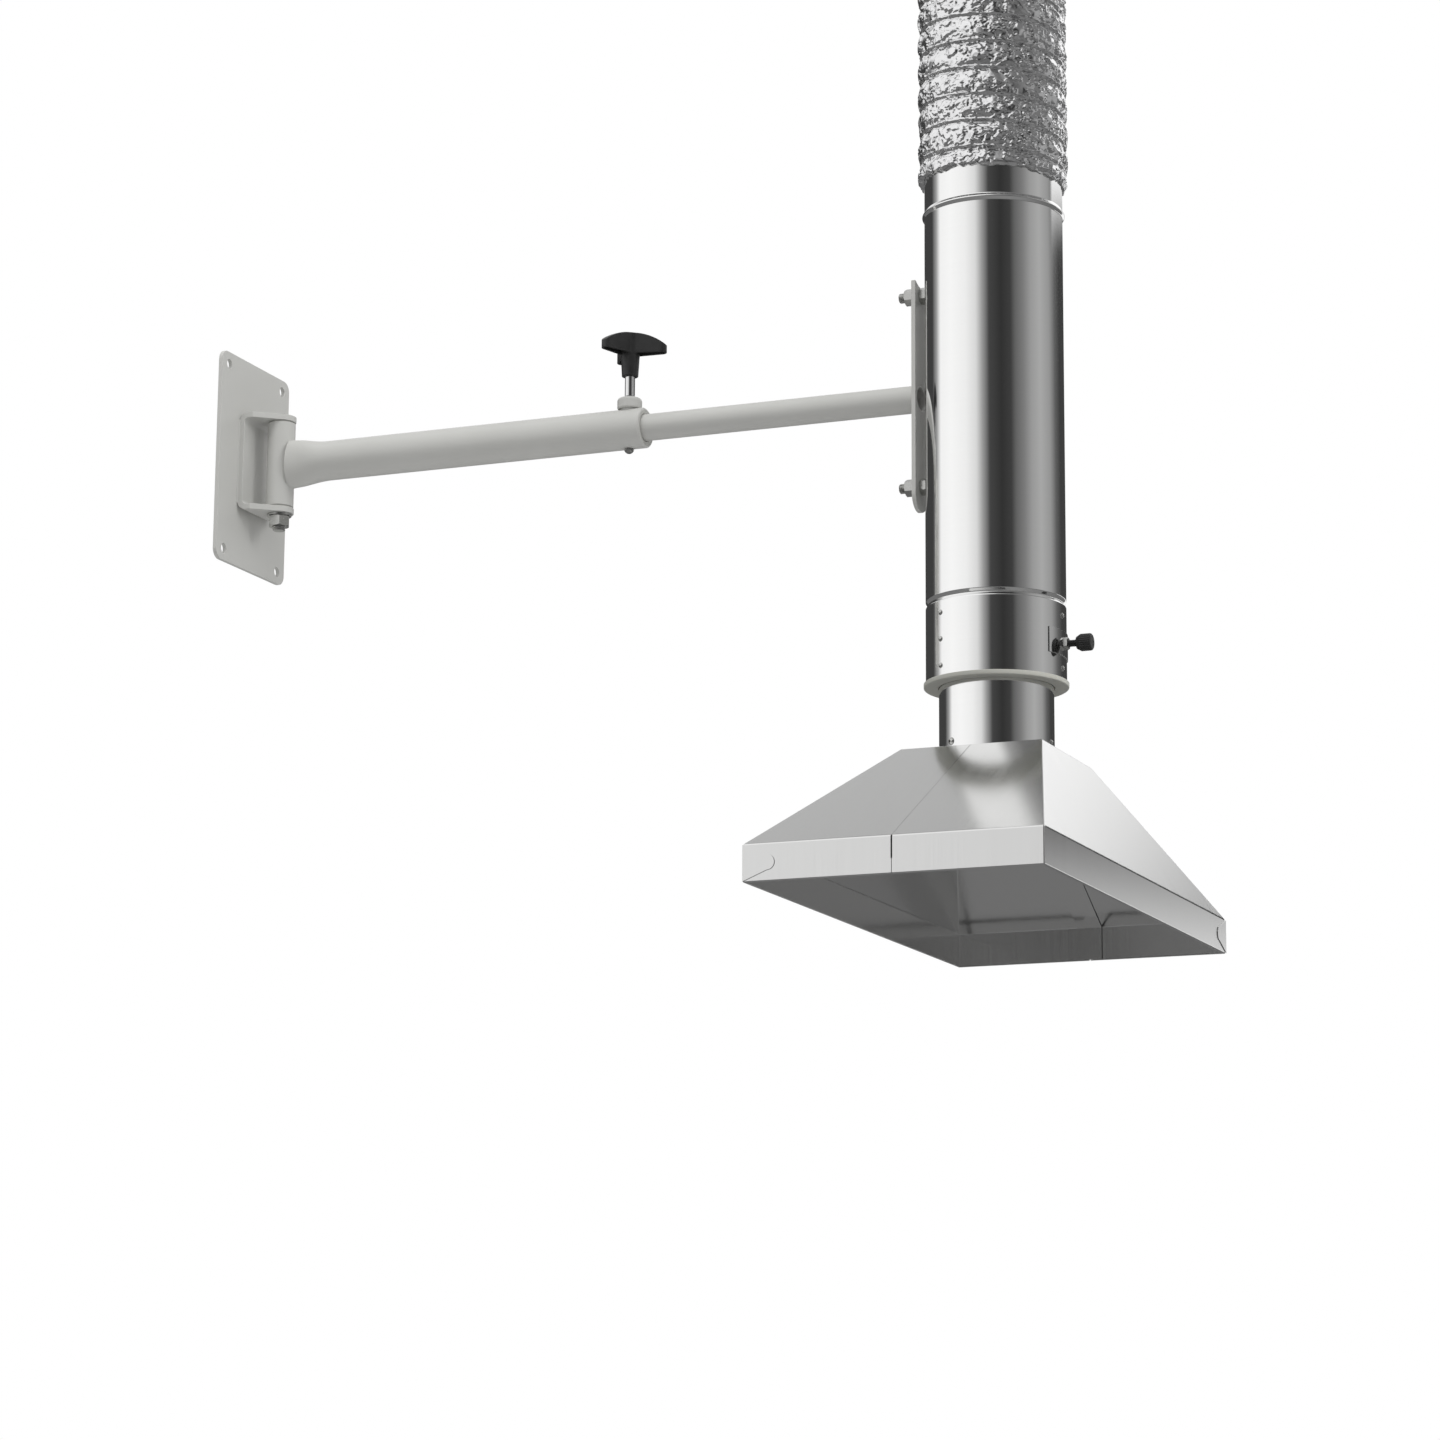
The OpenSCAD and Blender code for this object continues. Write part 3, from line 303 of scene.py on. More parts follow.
def node(tree, kind, settings=None, **inputs):
    """Adds a shader node, sets its properties, and sets or links its inputs by name."""
    new = tree.nodes.new("ShaderNode" + kind)
    for key, value in (settings or {}).items():
        setattr(new, key, value)
    for key, value in inputs.items():
        socket = new.inputs[int(key[1:])] if key[0] == "_" else new.inputs[key.replace("_", " ")]
        if isinstance(value, bpy.types.NodeSocket):
            tree.links.new(value, socket)
        else:
            socket.default_value = value
    return new


def new_material(name, **values):
    """A material with one Principled shader. Uniform values go straight on its sockets."""
    material = bpy.data.materials.new(name)
    material.use_nodes = True
    tree = material.node_tree
    shader = tree.nodes["Principled BSDF"]
    for key, value in values.items():
        shader.inputs[key.replace("_", " ")].default_value = value
    return material, tree, shader


def mapped(tree, scale):
    """Coordinates fixed to the object, in metres times a scale along each axis."""
    place = node(tree, "TexCoord").outputs["Object"]
    return node(tree, "Mapping", Vector=place, Scale=scale).outputs["Vector"]


def noise(tree, vector, scale, detail):
    return node(tree, "TexNoise", Vector=vector, Scale=scale, Detail=detail).outputs["Fac"]


def span(tree, value, low, high, new_low, new_high, kind="LINEAR"):
    """Maps a range of a value onto another range."""
    return node(tree, "MapRange", {"interpolation_type": kind}, Value=value, _1=low, _2=high,
                _3=new_low, _4=new_high).outputs[0]


def blend(tree, share, low, high):
    """A value between two others, which may be numbers or sockets."""
    return node(tree, "Mix", {"data_type": "FLOAT"}, _0=share, _2=low, _3=high).outputs[0]


def tint(tree, shader, value, dark, light):
    """Colours the surface from dark to light as a value goes from 0 to 1."""
    made = node(tree, "Mix", {"data_type": "RGBA"}, _0=value, _6=(*dark, 1), _7=(*light, 1))
    tree.links.new(made.outputs[2], shader.inputs["Base Color"])


def dull(tree, shader, value, low, high):
    """Roughness that follows a noise, most of whose values lie between 0.3 and 0.7."""
    tree.links.new(span(tree, value, 0.3, 0.7, low, high), shader.inputs["Roughness"])


def bump(tree, shader, height, strength, distance):
    made = node(tree, "Bump", Height=height, Strength=strength, Distance=distance)
    tree.links.new(made.outputs["Normal"], shader.inputs["Normal"])


def painted_steel():
    """Warm grey powder coat: faint orange peel, slightly uneven gloss."""
    material, tree, shader = new_material("painted_steel", Metallic=0.0, Coat_Weight=0.15,
                                          Coat_Roughness=0.25)
    place = mapped(tree, (1, 1, 1))
    cloud = noise(tree, place, 14, 3)
    tint(tree, shader, cloud, (0.545, 0.545, 0.522), (0.59, 0.59, 0.568))
    dull(tree, shader, noise(tree, place, 55, 2), 0.36, 0.46)
    bump(tree, shader, noise(tree, place, 620, 2), 0.12, 0.2 * MM)
    return material


def zinc_steel():
    """Zinc plate: cool grey metal with faint blotches."""
    material, tree, shader = new_material("zinc_steel", Metallic=1.0)
    place = mapped(tree, (1, 1, 1))
    tint(tree, shader, noise(tree, place, 160, 3), (0.5, 0.5, 0.49), (0.63, 0.63, 0.61))
    dull(tree, shader, noise(tree, place, 400, 3), 0.18, 0.28)
    bump(tree, shader, noise(tree, place, 1500, 2), 0.1, 0.1 * MM)
    return material


def chrome_steel():
    """Chrome plate with barely visible turning marks."""
    material, tree, shader = new_material("chrome_steel", Metallic=1.0)
    marks = noise(tree, mapped(tree, (40, 40, 4000)), 1, 2)
    tint(tree, shader, marks, (0.76, 0.76, 0.76), (0.84, 0.84, 0.84))
    dull(tree, shader, marks, 0.05, 0.09)
    return material


def polished_steel():
    """Polished stainless tube: faint polishing lines round it and soft smears."""
    material, tree, shader = new_material("polished_steel", Metallic=1.0)
    lines = noise(tree, mapped(tree, (6, 6, 2600)), 1, 3)
    smear = noise(tree, mapped(tree, (1, 1, 0.25)), 16, 3)
    tint(tree, shader, lines, (0.9, 0.9, 0.895), (0.94, 0.94, 0.935))
    dull(tree, shader, smear, 0.055, 0.085)
    bump(tree, shader, lines, 0.04, 0.05 * MM)
    return material


def hood_steel():
    """Brushed stainless sheet. The brushing runs down each panel, along V of its UV map."""
    material, tree, shader = new_material("hood_steel", Metallic=1.0, Anisotropic=0.55)
    uv = node(tree, "UVMap", {"uv_map": "grain"}).outputs["UV"]
    grain = noise(tree, node(tree, "Mapping", Vector=uv, Scale=(3600, 14, 1)).outputs[0], 1, 3)
    long = noise(tree, node(tree, "Mapping", Vector=uv, Scale=(420, 4, 1)).outputs[0], 1, 2)
    tint(tree, shader, grain, (0.74, 0.74, 0.735), (0.84, 0.84, 0.835))
    dull(tree, shader, long, 0.15, 0.2)
    tangent = node(tree, "Tangent", {"direction_type": "UV_MAP", "uv_map": "grain"})
    tree.links.new(tangent.outputs[0], shader.inputs["Tangent"])
    bump(tree, shader, grain, 0.03, 0.05 * MM)
    return material


def foil():
    """Thin aluminium foil: bright, with fine creases between the modelled ones."""
    material, tree, shader = new_material("foil", Metallic=1.0)
    place = mapped(tree, (1, 1, 1))
    cells = node(tree, "TexVoronoi", {"feature": "F1"}, Vector=place, Scale=210.0)
    tint(tree, shader, noise(tree, place, 90, 4), (0.74, 0.74, 0.745), (0.9, 0.9, 0.905))
    dull(tree, shader, noise(tree, place, 240, 3), 0.1, 0.2)
    bump(tree, shader, cells.outputs["Distance"], 0.25, 0.5 * MM)
    return material


def black_plastic():
    """Black moulded plastic with a fine eroded texture."""
    material, tree, shader = new_material("black_plastic", Specular_IOR_Level=0.45)
    place = mapped(tree, (1, 1, 1))
    spots = noise(tree, place, 90, 3)
    tint(tree, shader, spots, (0.018, 0.018, 0.018), (0.034, 0.034, 0.034))
    dull(tree, shader, noise(tree, place, 500, 2), 0.36, 0.5)
    bump(tree, shader, noise(tree, place, 2400, 2), 0.2, 0.08 * MM)
    return material


def ring_plastic():
    """Ivory grey machined plastic with fine turning lines."""
    material, tree, shader = new_material("ring_plastic", Subsurface_Weight=0.12,
                                          Subsurface_Radius=(2 * MM, 1.6 * MM, 1.2 * MM))
    lines = noise(tree, mapped(tree, (30, 30, 2200)), 1, 2)
    tint(tree, shader, lines, (0.45, 0.45, 0.41), (0.5, 0.5, 0.455))
    dull(tree, shader, lines, 0.38, 0.5)
    bump(tree, shader, lines, 0.08, 0.05 * MM)
    return material


def bush_plastic():
    """Grey bearing plastic."""
    material, tree, shader = new_material("bush_plastic")
    fine = noise(tree, mapped(tree, (1, 1, 1)), 700, 2)
    tint(tree, shader, fine, (0.52, 0.52, 0.49), (0.58, 0.58, 0.55))
    dull(tree, shader, fine, 0.4, 0.52)
    return material


def brass():
    """Turned brass."""
    material, tree, shader = new_material("brass", Metallic=1.0)
    lines = noise(tree, mapped(tree, (20, 20, 2500)), 1, 2)
    tint(tree, shader, lines, (0.6, 0.45, 0.2), (0.74, 0.57, 0.27))
    dull(tree, shader, lines, 0.22, 0.34)
    return material


MATERIALS = {made.__name__: made() for made in (
    painted_steel, zinc_steel, chrome_steel, polished_steel, hood_steel, foil, black_plastic,
    ring_plastic, bush_plastic, brass)}


def finish(obj, body, slot, *nodes):
    """Gives a piece its material and body, and hides the frame nodes that it stands for."""
    obj.data.materials.clear()
    obj.data.materials.append(MATERIALS[slot])
    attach(obj, body)
    if nodes:
        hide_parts(*nodes)
    return obj


def dress_frame():
    """Every frame node gets the material of its slot in the record."""
    for part in frame["record"]["subparts"]:
        data = frame["nodes"][part["node"]].data
        data.materials.clear()
        data.materials.append(MATERIALS[part["material_slot"]])


# Wall bracket and pivot

def wall_bracket():
    plate = dressed("wall_plate", "wall_plate_sheet", 0.9 * MM)
    finish(plate, "wall", "painted_steel", "wall_plate")
    strap = dressed("pivot_bracket", "pivot_strap", 0.8 * MM)
    finish(strap, "wall", "painted_steel", "pivot_bracket")

    low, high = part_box("pivot_bracket")
    plate_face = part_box("wall_plate")[1].x
    bend = 9 * MM
    half_z = high.z - bend
    steps = 120
    beads = []
    for y in (low.y, high.y):
        path = [(plate_face, y, half_z * (2 * i / steps - 1)) for i in range(steps + 1)]
        beads.append(weld("bead", path, WELD_R))
    finish(join("pivot_strap_welds", beads), "wall", "painted_steel")


def pivot_joint():
    low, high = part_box("pivot_bolt")
    washer_low, washer_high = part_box("pivot_washer")
    bolt_r, head_r, core_r = 8 * MM, 13 * MM, 0.5 * MM
    hole_r, washer_r, edge = 8.3 * MM, 15 * MM, 0.5 * MM
    ear_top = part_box("pivot_bracket")[1].z
    head_h = high.z - ear_top

    head = revolve("bolt_head", rounded([
        (core_r, ear_top), (head_r, ear_top), (head_r, ear_top + head_h / 2, head_h / 3),
        (head_r * 0.72, high.z, head_r / 3), (core_r, high.z)], closed=False), closed=False)
    shank = threaded("bolt_shank", bolt_r, ear_top - low.z, pitch=2 * MM, depth=0.9 * MM,
                     chamfer=1.2 * MM)
    move(shank, Matrix.Translation((0, 0, low.z)))
    bolt = move_x(join("pivot_bolt_body", [head, shank]), PIVOT_X)
    shade(bolt.data, 40)
    finish(bolt, "wall", "zinc_steel", "pivot_bolt")

    ring = revolve("pivot_washer_ring", rounded([
        (hole_r, washer_low.z), (washer_r, washer_low.z, edge),
        (washer_r, washer_high.z, edge), (hole_r, washer_high.z)]))
    finish(move_x(ring, PIVOT_X), "wall", "zinc_steel", "pivot_washer")
    finish(dressed("pivot_nut", "pivot_nut_hex", 0.35 * MM), "wall", "zinc_steel", "pivot_nut")


def pivot_sleeve():
    bore = SLEEVE_R - 4 * MM
    edge = 0.6 * MM
    tube = revolve("pivot_sleeve_tube", rounded([
        (bore, SLEEVE_LOW.z, edge), (SLEEVE_R, SLEEVE_LOW.z, edge),
        (SLEEVE_R, SLEEVE_HIGH.z, edge), (bore, SLEEVE_HIGH.z, edge)]), sides=128)
    finish(move_x(tube, PIVOT_X), "arm", "painted_steel", "pivot_sleeve")


# Arm

def press_section(s):
    """Half width, half height and distance from the pivot at share s of the pressed end."""
    smooth = (1 - cos(pi * min(max(s, 0), 1))) / 2
    half_w = PRESS_W / 2 + (ARM_TUBE_R - PRESS_W / 2) * smooth
    half_h = PRESS_H / 2 + (ARM_TUBE_R - PRESS_H / 2) * smooth
    return half_w, half_h, PRESS_START + s * (PRESS_END - PRESS_START)


def seat_x(y, radius):
    """Distance from the pivot's axis to a circle round it at a width y, or at least PRESS_START."""
    return sqrt(max(radius ** 2 - y * y, PRESS_START ** 2))


def outer_tube():
    """Tube that goes from an upright oval at the sleeve to round, with a rolled mouth."""
    sides, press_rings, blend_rings, straight_rings, mouth_rings, lip_rings = 128, 28, 9, 8, 6, 3
    let_in, mouth_r, lip = 2 * MM, 2.2 * MM, 3 * MM
    bore = ARM_TUBE_R - ARM_TUBE_WALL
    mouth = TUBE_HIGH.x - PIVOT_X
    sections = []
    for i in range(press_rings + 1):
        half_w, half_h, x = press_section(i / press_rings)
        sections.append((half_w, half_h, x, min(i / blend_rings, 1)))
    for i in range(1, straight_rings + 1):
        x = PRESS_END + (mouth - mouth_r - PRESS_END) * i / straight_rings
        sections.append((ARM_TUBE_R, ARM_TUBE_R, x, 1))
    for i in range(1, mouth_rings + 1):
        a = pi / 2 * i / mouth_rings
        r = ARM_TUBE_R - mouth_r * (1 - cos(a))
        sections.append((r, r, mouth - mouth_r * (1 - sin(a)), 1))
    for x in (mouth, mouth - 1 * MM, PRESS_END + 1 * MM):
        sections.append((bore, bore, x, 1))
    for i in reversed(range(press_rings + 1)):
        half_w, half_h, x = press_section(i / press_rings)
        wall = ARM_TUBE_WALL + lip * max(1 - i / lip_rings, 0)
        sections.append((half_w - wall, half_h - wall, x, min(i / blend_rings, 1)))
    points = []
    for half_w, half_h, x, share in sections:
        for a in spokes(sides):
            y, z = half_w * cos(a), half_h * sin(a)
            seat = seat_x(y, SLEEVE_R - let_in)
            points.append((PIVOT_X + seat + (x - seat) * share, y, z))
    tube = make("arm_tube_shell", points, grid_faces(len(sections), sides, closed=True), 50)
    finish(tube, "arm", "painted_steel", "arm_outer_tube")

    path = []
    for a in spokes(160):
        y, z = PRESS_W / 2 * cos(a), PRESS_H / 2 * sin(a)
        path.append((PIVOT_X + seat_x(y, SLEEVE_R), y, z))
    finish(weld("sleeve_weld", path, 0.6 * MM, closed=True), "arm", "painted_steel")


def mouth_bush():
    low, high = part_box("arm_guide_bush")
    outer = ARM_TUBE_R - ARM_TUBE_WALL
    bore = INNER_TUBE_R + 0.35 * MM
    length = high.x - low.x - 0.3 * MM
    ring = revolve("mouth_bush_ring", rounded([
        (bore, 0), (outer, 0), (outer, length), (bore, length, 1.2 * MM)]), sides=128)
    finish(move(ring, along_x(low.x)), "arm", "bush_plastic", "arm_guide_bush")


def clamp_boss():
    """Round boss with soft edges: its flat underside stands on a narrower foot on the tube."""
    radius = (BOSS_HIGH.x - BOSS_LOW.x) / 2
    bore = 6.05 * MM
    foot_r = 11 * MM
    foot_z = 21.5 * MM
    under_z = ARM_TUBE_R + 0.05 * MM
    boss = revolve("clamp_boss_round", rounded([
        (bore, foot_z), (foot_r, foot_z), (foot_r, under_z), (radius, under_z, 2.2 * MM),
        (radius, BOSS_HIGH.z, 4.5 * MM), (bore, BOSS_HIGH.z, 0.6 * MM)], steps=8))
    finish(move_x(boss, CLAMP_X), "arm", "painted_steel", "clamp_boss")


def dome_z(r, radius, height):
    """Height of a domed head at a distance r from its middle."""
    curve = (radius ** 2 + height ** 2) / (2 * height)
    return height - curve + sqrt(max(curve ** 2 - r * r, 0))


def recessed_head(name, radius, height, socket_r, depth):
    """A domed head, flat side down, with a hexagon socket in its top."""
    sides, rings = 48, 10
    socket = [(a, socket_r * cos(pi / 6) / cos((a % (pi / 3)) - pi / 6)) for a in spokes(sides)]
    points = []
    for i in range(rings + 1):
        for a, inner in socket:
            r = radius + (inner - radius) * (i / rings)
            points.append((r * cos(a), r * sin(a), dome_z(r, radius, height)))
    points += [(r * cos(a), r * sin(a), height - depth) for a, r in socket]
    return make(name, points, grid_faces(rings + 2, sides), 32)


def guide_screw():
    low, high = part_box("guide_screw")
    head_r = (high.x - low.x) / 2
    seat_z = 22.6 * MM
    head_h = -low.z - seat_z
    head = recessed_head("guide_head", head_r, head_h, socket_r=2.8 * MM, depth=1.8 * MM)
    move(head, Matrix.Translation((0, 0, seat_z)))
    shank = threaded("guide_shank", 3 * MM, seat_z + high.z, pitch=1 * MM, depth=0.45 * MM,
                     chamfer=0.6 * MM, sides=32)
    move(shank, Matrix.Translation((0, 0, -high.z)))
    screw = join("guide_screw_body", [head, shank])
    move(screw, Matrix.Translation((CLAMP_X, 0, 0)) @ Matrix.Rotation(pi, 4, "X"))
    shade(screw.data, 35)
    finish(screw, "arm", "zinc_steel", "guide_screw")


# Arm clamp

def clamp_stud():
    low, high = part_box("clamp_stud")
    radius = (high.x - low.x) / 2
    edge, waist_in, waist_edge = 1.2 * MM, 0.35 * MM, 0.4 * MM
    top = BOSS_HIGH.z
    rod = revolve("clamp_stud_rod", rounded([
        (AXIS_R, low.z), (radius, low.z, edge), (radius, top - 1 * MM, waist_edge / 2),
        (radius - waist_in, top + 1.2 * MM, waist_edge), (radius, top + 2.4 * MM, waist_edge),
        (radius, high.z, edge), (AXIS_R, high.z)], closed=False), closed=False)
    finish(move_x(rod, CLAMP_X), "clamp", "chrome_steel", "clamp_stud")


def clamp_grip():
    """Three-armed grip: a domed cap, hollow underneath, on a tapering hub."""
    grip = dressed("clamp_grip", "clamp_grip_moulded", 0.1 * MM)
    grip.modifiers.clear()
    modify(grip, "REMESH", mode="VOXEL", voxel_size=0.45 * MM)
    modify(grip, "SMOOTH", factor=0.5, iterations=5)
    bake(grip, 60)
    finish(grip, "clamp", "black_plastic", "clamp_grip")


# Carriage

def inner_tube():
    low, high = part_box("arm_inner_tube")
    bore = INNER_TUBE_R - 2.5 * MM
    length = high.x - low.x
    edge = 0.8 * MM
    tube = revolve("arm_inner_tube_shell", rounded([
        (bore, 0, edge), (INNER_TUBE_R, 0, edge), (INNER_TUBE_R, length, edge),
        (bore, length, edge)]), sides=128)
    finish(move(tube, along_x(low.x)), "carriage", "painted_steel", "arm_inner_tube")

    path_r = INNER_TUBE_R + 0.2 * MM
    path = [(CARRIER_LOW.x, path_r * cos(a), path_r * sin(a)) for a in spokes(140)]
    finish(weld("carrier_weld", path, WELD_R, closed=True), "carriage", "painted_steel")


def pipe_carrier():
    plate = dressed("pipe_bracket_plate", "pipe_carrier_plate", 0.8 * MM)
    finish(plate, "carriage", "painted_steel", "pipe_bracket_plate")
    for node_name, piece, width in (("bracket_spacers", "carrier_spacers", 0.3 * MM),
                                    ("bracket_washers", "carrier_washers", 0.3 * MM),
                                    ("bracket_nuts", "carrier_nuts", 0.35 * MM)):
        finish(dressed(node_name, piece, width), "carriage", "zinc_steel", node_name)

    low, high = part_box("bracket_studs")
    radius = 6 * MM
    length = high.x - low.x
    studs = []
    for z in (low.z + radius, high.z - radius):
        stud = threaded("stud", radius, length, pitch=1.75 * MM, depth=0.8 * MM, chamfer=1 * MM)
        studs.append(move(stud, along_x(low.x, z)))
    finish(join("carrier_studs", studs), "carriage", "zinc_steel", "bracket_studs")


def rolled(z, middle, height, depth):
    """How far a rolled bead stands out at a height: straight flanks, round foot and crest."""
    soft = 0.12
    share = 1 - abs(z - middle) / (height / 2)
    if share <= 0:
        return 0.0
    if share < 2 * soft:
        part = share ** 2 / (4 * soft)
    elif share < 1 - 2 * soft:
        part = share - soft
    else:
        part = 1 - 2 * soft - (1 - share) ** 2 / (4 * soft)
    return depth * part / (1 - 2 * soft)


def rolled_wall(name, radius, low, high, rolls):
    """A thin round wall with rolled beads, given as (middle, height, depth)."""
    edge, steps = 0.35 * MM, 40
    heights = [low]
    for middle, height, _ in rolls:
        heights += [middle + height * (i / steps - 0.5) for i in range(steps + 1)]
    heights.append(high)

    def out(z):
        return sum(rolled(z, *roll) for roll in rolls)

    outer = [(radius + out(z), z) for z in heights]
    inner = [(radius - SHEET + out(z), z) for z in reversed(heights)]
    ends = {0: edge, len(outer) - 1: edge}
    corners = [(*p, ends.get(i, 0)) for wall in (outer, inner) for i, p in enumerate(wall)]
    return move_x(revolve(name, rounded(corners), sides=PIPE_SIDES, crease=40), PIPE_X)


def outer_pipe():
    stop_z = PIPE_LOW.z + STOP_HEIGHT
    pipe = rolled_wall("outer_pipe_wall", PIPE_R, PIPE_LOW.z, PIPE_HIGH.z,
                       [(stop_z, ROLL_H, -STOP_DEPTH), (BEAD_Z, ROLL_H, BEAD_OUT)])
    finish(pipe, "carriage", "polished_steel", "outer_pipe")


def lower_ring():
    low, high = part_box("lower_guide_ring")
    flange_r = (high.x - low.x) / 2
    flange_t = 5.5 * MM
    body_r = PIPE_R - SHEET - 0.05 * MM
    bore = INNER_PIPE_R + 0.3 * MM
    edge = 1.2 * MM
    ring = revolve("lower_ring_turned", rounded([
        (bore, low.z, edge), (flange_r, low.z, 1.4 * MM), (flange_r, low.z + flange_t, 0.5 * MM),
        (body_r, low.z + flange_t), (body_r, high.z, edge), (bore, high.z, edge)]),
        sides=PIPE_SIDES, crease=40)
    finish(move_x(ring, PIPE_X), "carriage", "ring_plastic", "lower_guide_ring")


def on_pipe(column, z, radius):
    """Place of a head that points outwards in one of three columns round the pipe's axis."""
    turned = Matrix.Rotation(RIVET_COLUMN_TURN + TURN * column / 3, 4, "Z")
    return Matrix.Translation((PIPE_X, 0, z)) @ turned @ along_x(radius)


def rivets():
    """Domed rivets in three columns; the lock screw takes the place of one."""
    radius, height, steps = 3.2 * MM, 2.1 * MM, 8
    profile = [(radius * 0.98, -0.3 * MM)]
    for i in range(steps + 1):
        r = radius * (1 - i / steps) + 0.05 * MM
        profile.append((r, dome_z(r, radius, height)))
    parts = []
    for row, rise in enumerate(RIVET_ROWS):
        for column in range(3):
            if column == 0 and row == 1:
                continue
            rivet = revolve("rivet", profile, sides=32, closed=False)
            parts.append(move(rivet, on_pipe(column, PIPE_LOW.z + rise, PIPE_R - 0.02 * MM)))
    finish(join("collar_rivet_heads", parts), "carriage", "zinc_steel", "collar_rivets")


def lock_seat():
    plate = dressed("lock_plate", "lock_plate_curved", 0.25 * MM)
    finish(plate, "carriage", "polished_steel", "lock_plate")
    finish(dressed("lock_nut", "lock_nut_hex", 0.3 * MM), "carriage", "zinc_steel", "lock_nut")


# Foil duct

def crumple(points, size, slope, seed, pick):
    """Heights of folded facets: at each point the lowest or highest of a few random planes."""
    planes = 4
    rng = np.random.default_rng(seed)
    low, high = points.min(axis=0) - size, points.max(axis=0) + size
    count = int(np.prod((high - low)[:2]) / size ** 2)
    seeds = rng.uniform(low, high, (count, 2))
    tilts = rng.normal(0, slope, (count, 2))
    lifts = rng.normal(0, slope * size * 0.25, count)
    tree = kdtree.KDTree(count)
    for i, spot in enumerate(seeds):
        tree.insert((spot[0], spot[1], 0), i)
    tree.balance()
    near = np.array([[hit[1] for hit in tree.find_n((p[0], p[1], 0), planes)] for p in points])
    offset = points[:, None, :] - seeds[near]
    heights = (offset * tilts[near]).sum(axis=2) + lifts[near]
    return pick(heights, axis=1)


def foil_duct():
    """Crumpled foil hose on a wire that runs up it as a helix."""
    columns, rows, lining_rows = 480, 380, 5
    pitch = 32 * MM
    valley, bore = PIPE_R + 1.6 * MM, PIPE_R + 0.25 * MM
    ridge_out, roundness = 4.4 * MM, 0.7
    wire_out, wire_w, wire_turn, fold_at_wire = 1.4 * MM, 1.05 * MM, 0.6, 0.15
    cuff, cuff_folds = 30 * MM, 0.25
    lift, sag, sag_angle = 4 * MM, 5 * MM, radians(20)
    fringe_h = 1.3 * MM
    tuck_h, least_tuck = 6 * MM, 0.25
    seam_w, fold_out = 0.05, 1.4 * MM
    # Facet size, slope, seed, and which plane is taken
    kinds = ((9 * MM, 0.2, 3, np.min), (5 * MM, 0.18, 5, np.max), (3 * MM, 0.12, 7, np.min))

    low, high = DUCT_LOW.z, DUCT_HIGH.z
    angles = TURN * np.arange(columns) / columns
    share = np.arange(rows) / (rows - 1)
    angle, s = np.meshgrid(angles, share)
    drop = sag * np.cos(angle - sag_angle)
    fringe = fringe_h * (np.sin(7 * angle + 1) + np.sin(17 * angle + 2) * 0.6
                         + np.sin(41 * angle) * 0.4)
    z = low + lift - drop * (1 - s) ** 6 + fringe * (1 - s) ** 12 + (high - low - lift) * s

    turns = (z - low) / pitch + angle / TURN
    bulge = np.abs(np.cos(pi * turns)) ** roundness
    wire = np.exp(-(((turns - wire_turn + 0.5) % 1 - 0.5) * pitch / wire_w) ** 2)
    fade = np.clip((high - cuff - z) / (pitch / 4), 0, 1)
    tuck = np.clip((z - low) / tuck_h, least_tuck, 1)

    flat = np.stack([(angle * valley).ravel(), z.ravel()], axis=1)
    folds = sum(crumple(flat, *kind) for kind in kinds).reshape(angle.shape)
    folds -= folds.mean()
    seam = np.clip(np.minimum(angle, TURN - angle) / seam_w, 0, 1)
    folds *= seam * (cuff_folds + (1 - cuff_folds) * fade) * (1 - (1 - fold_at_wire) * wire)
    radius = valley + (ridge_out * bulge + wire_out * wire) * fade * tuck
    radius = np.maximum(radius + np.clip(folds, -fold_out, fold_out), PIPE_R + 0.5 * MM)

    def layer(r, a, height):
        return np.stack([PIPE_X + r * np.cos(a), r * np.sin(a), height], axis=-1).reshape(-1, 3)

    layers = [layer(radius, angle, z)]
    for k in range(lining_rows):
        height = z[-1] + (z[0] - z[-1]) * (k / (lining_rows - 1))
        layers.append(layer(bore, angles, height))
    faces = grid_faces(rows + lining_rows, columns, closed=True)
    duct = make("foil_duct_skin", np.concatenate(layers), faces, 75)
    finish(duct, "carriage", "foil", "foil_duct")


def duct_end():
    """Hose clamp and coupler at the duct's upper end."""
    low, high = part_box("duct_coupler")
    radius = 79.7 * MM
    stop_h = 4.5 * MM
    stop_z = DUCT_HIGH.z + stop_h / 2 + 0.3 * MM
    coupler = rolled_wall("duct_coupler_wall", radius, low.z, high.z,
                          [(stop_z, stop_h, (high.x - low.x) / 2 - radius)])
    finish(coupler, "carriage", "zinc_steel", "duct_coupler")
    band = dressed("duct_clamp", "duct_clamp_band", 0.3 * MM)
    finish(band, "carriage", "zinc_steel", "duct_clamp")


# Height lock

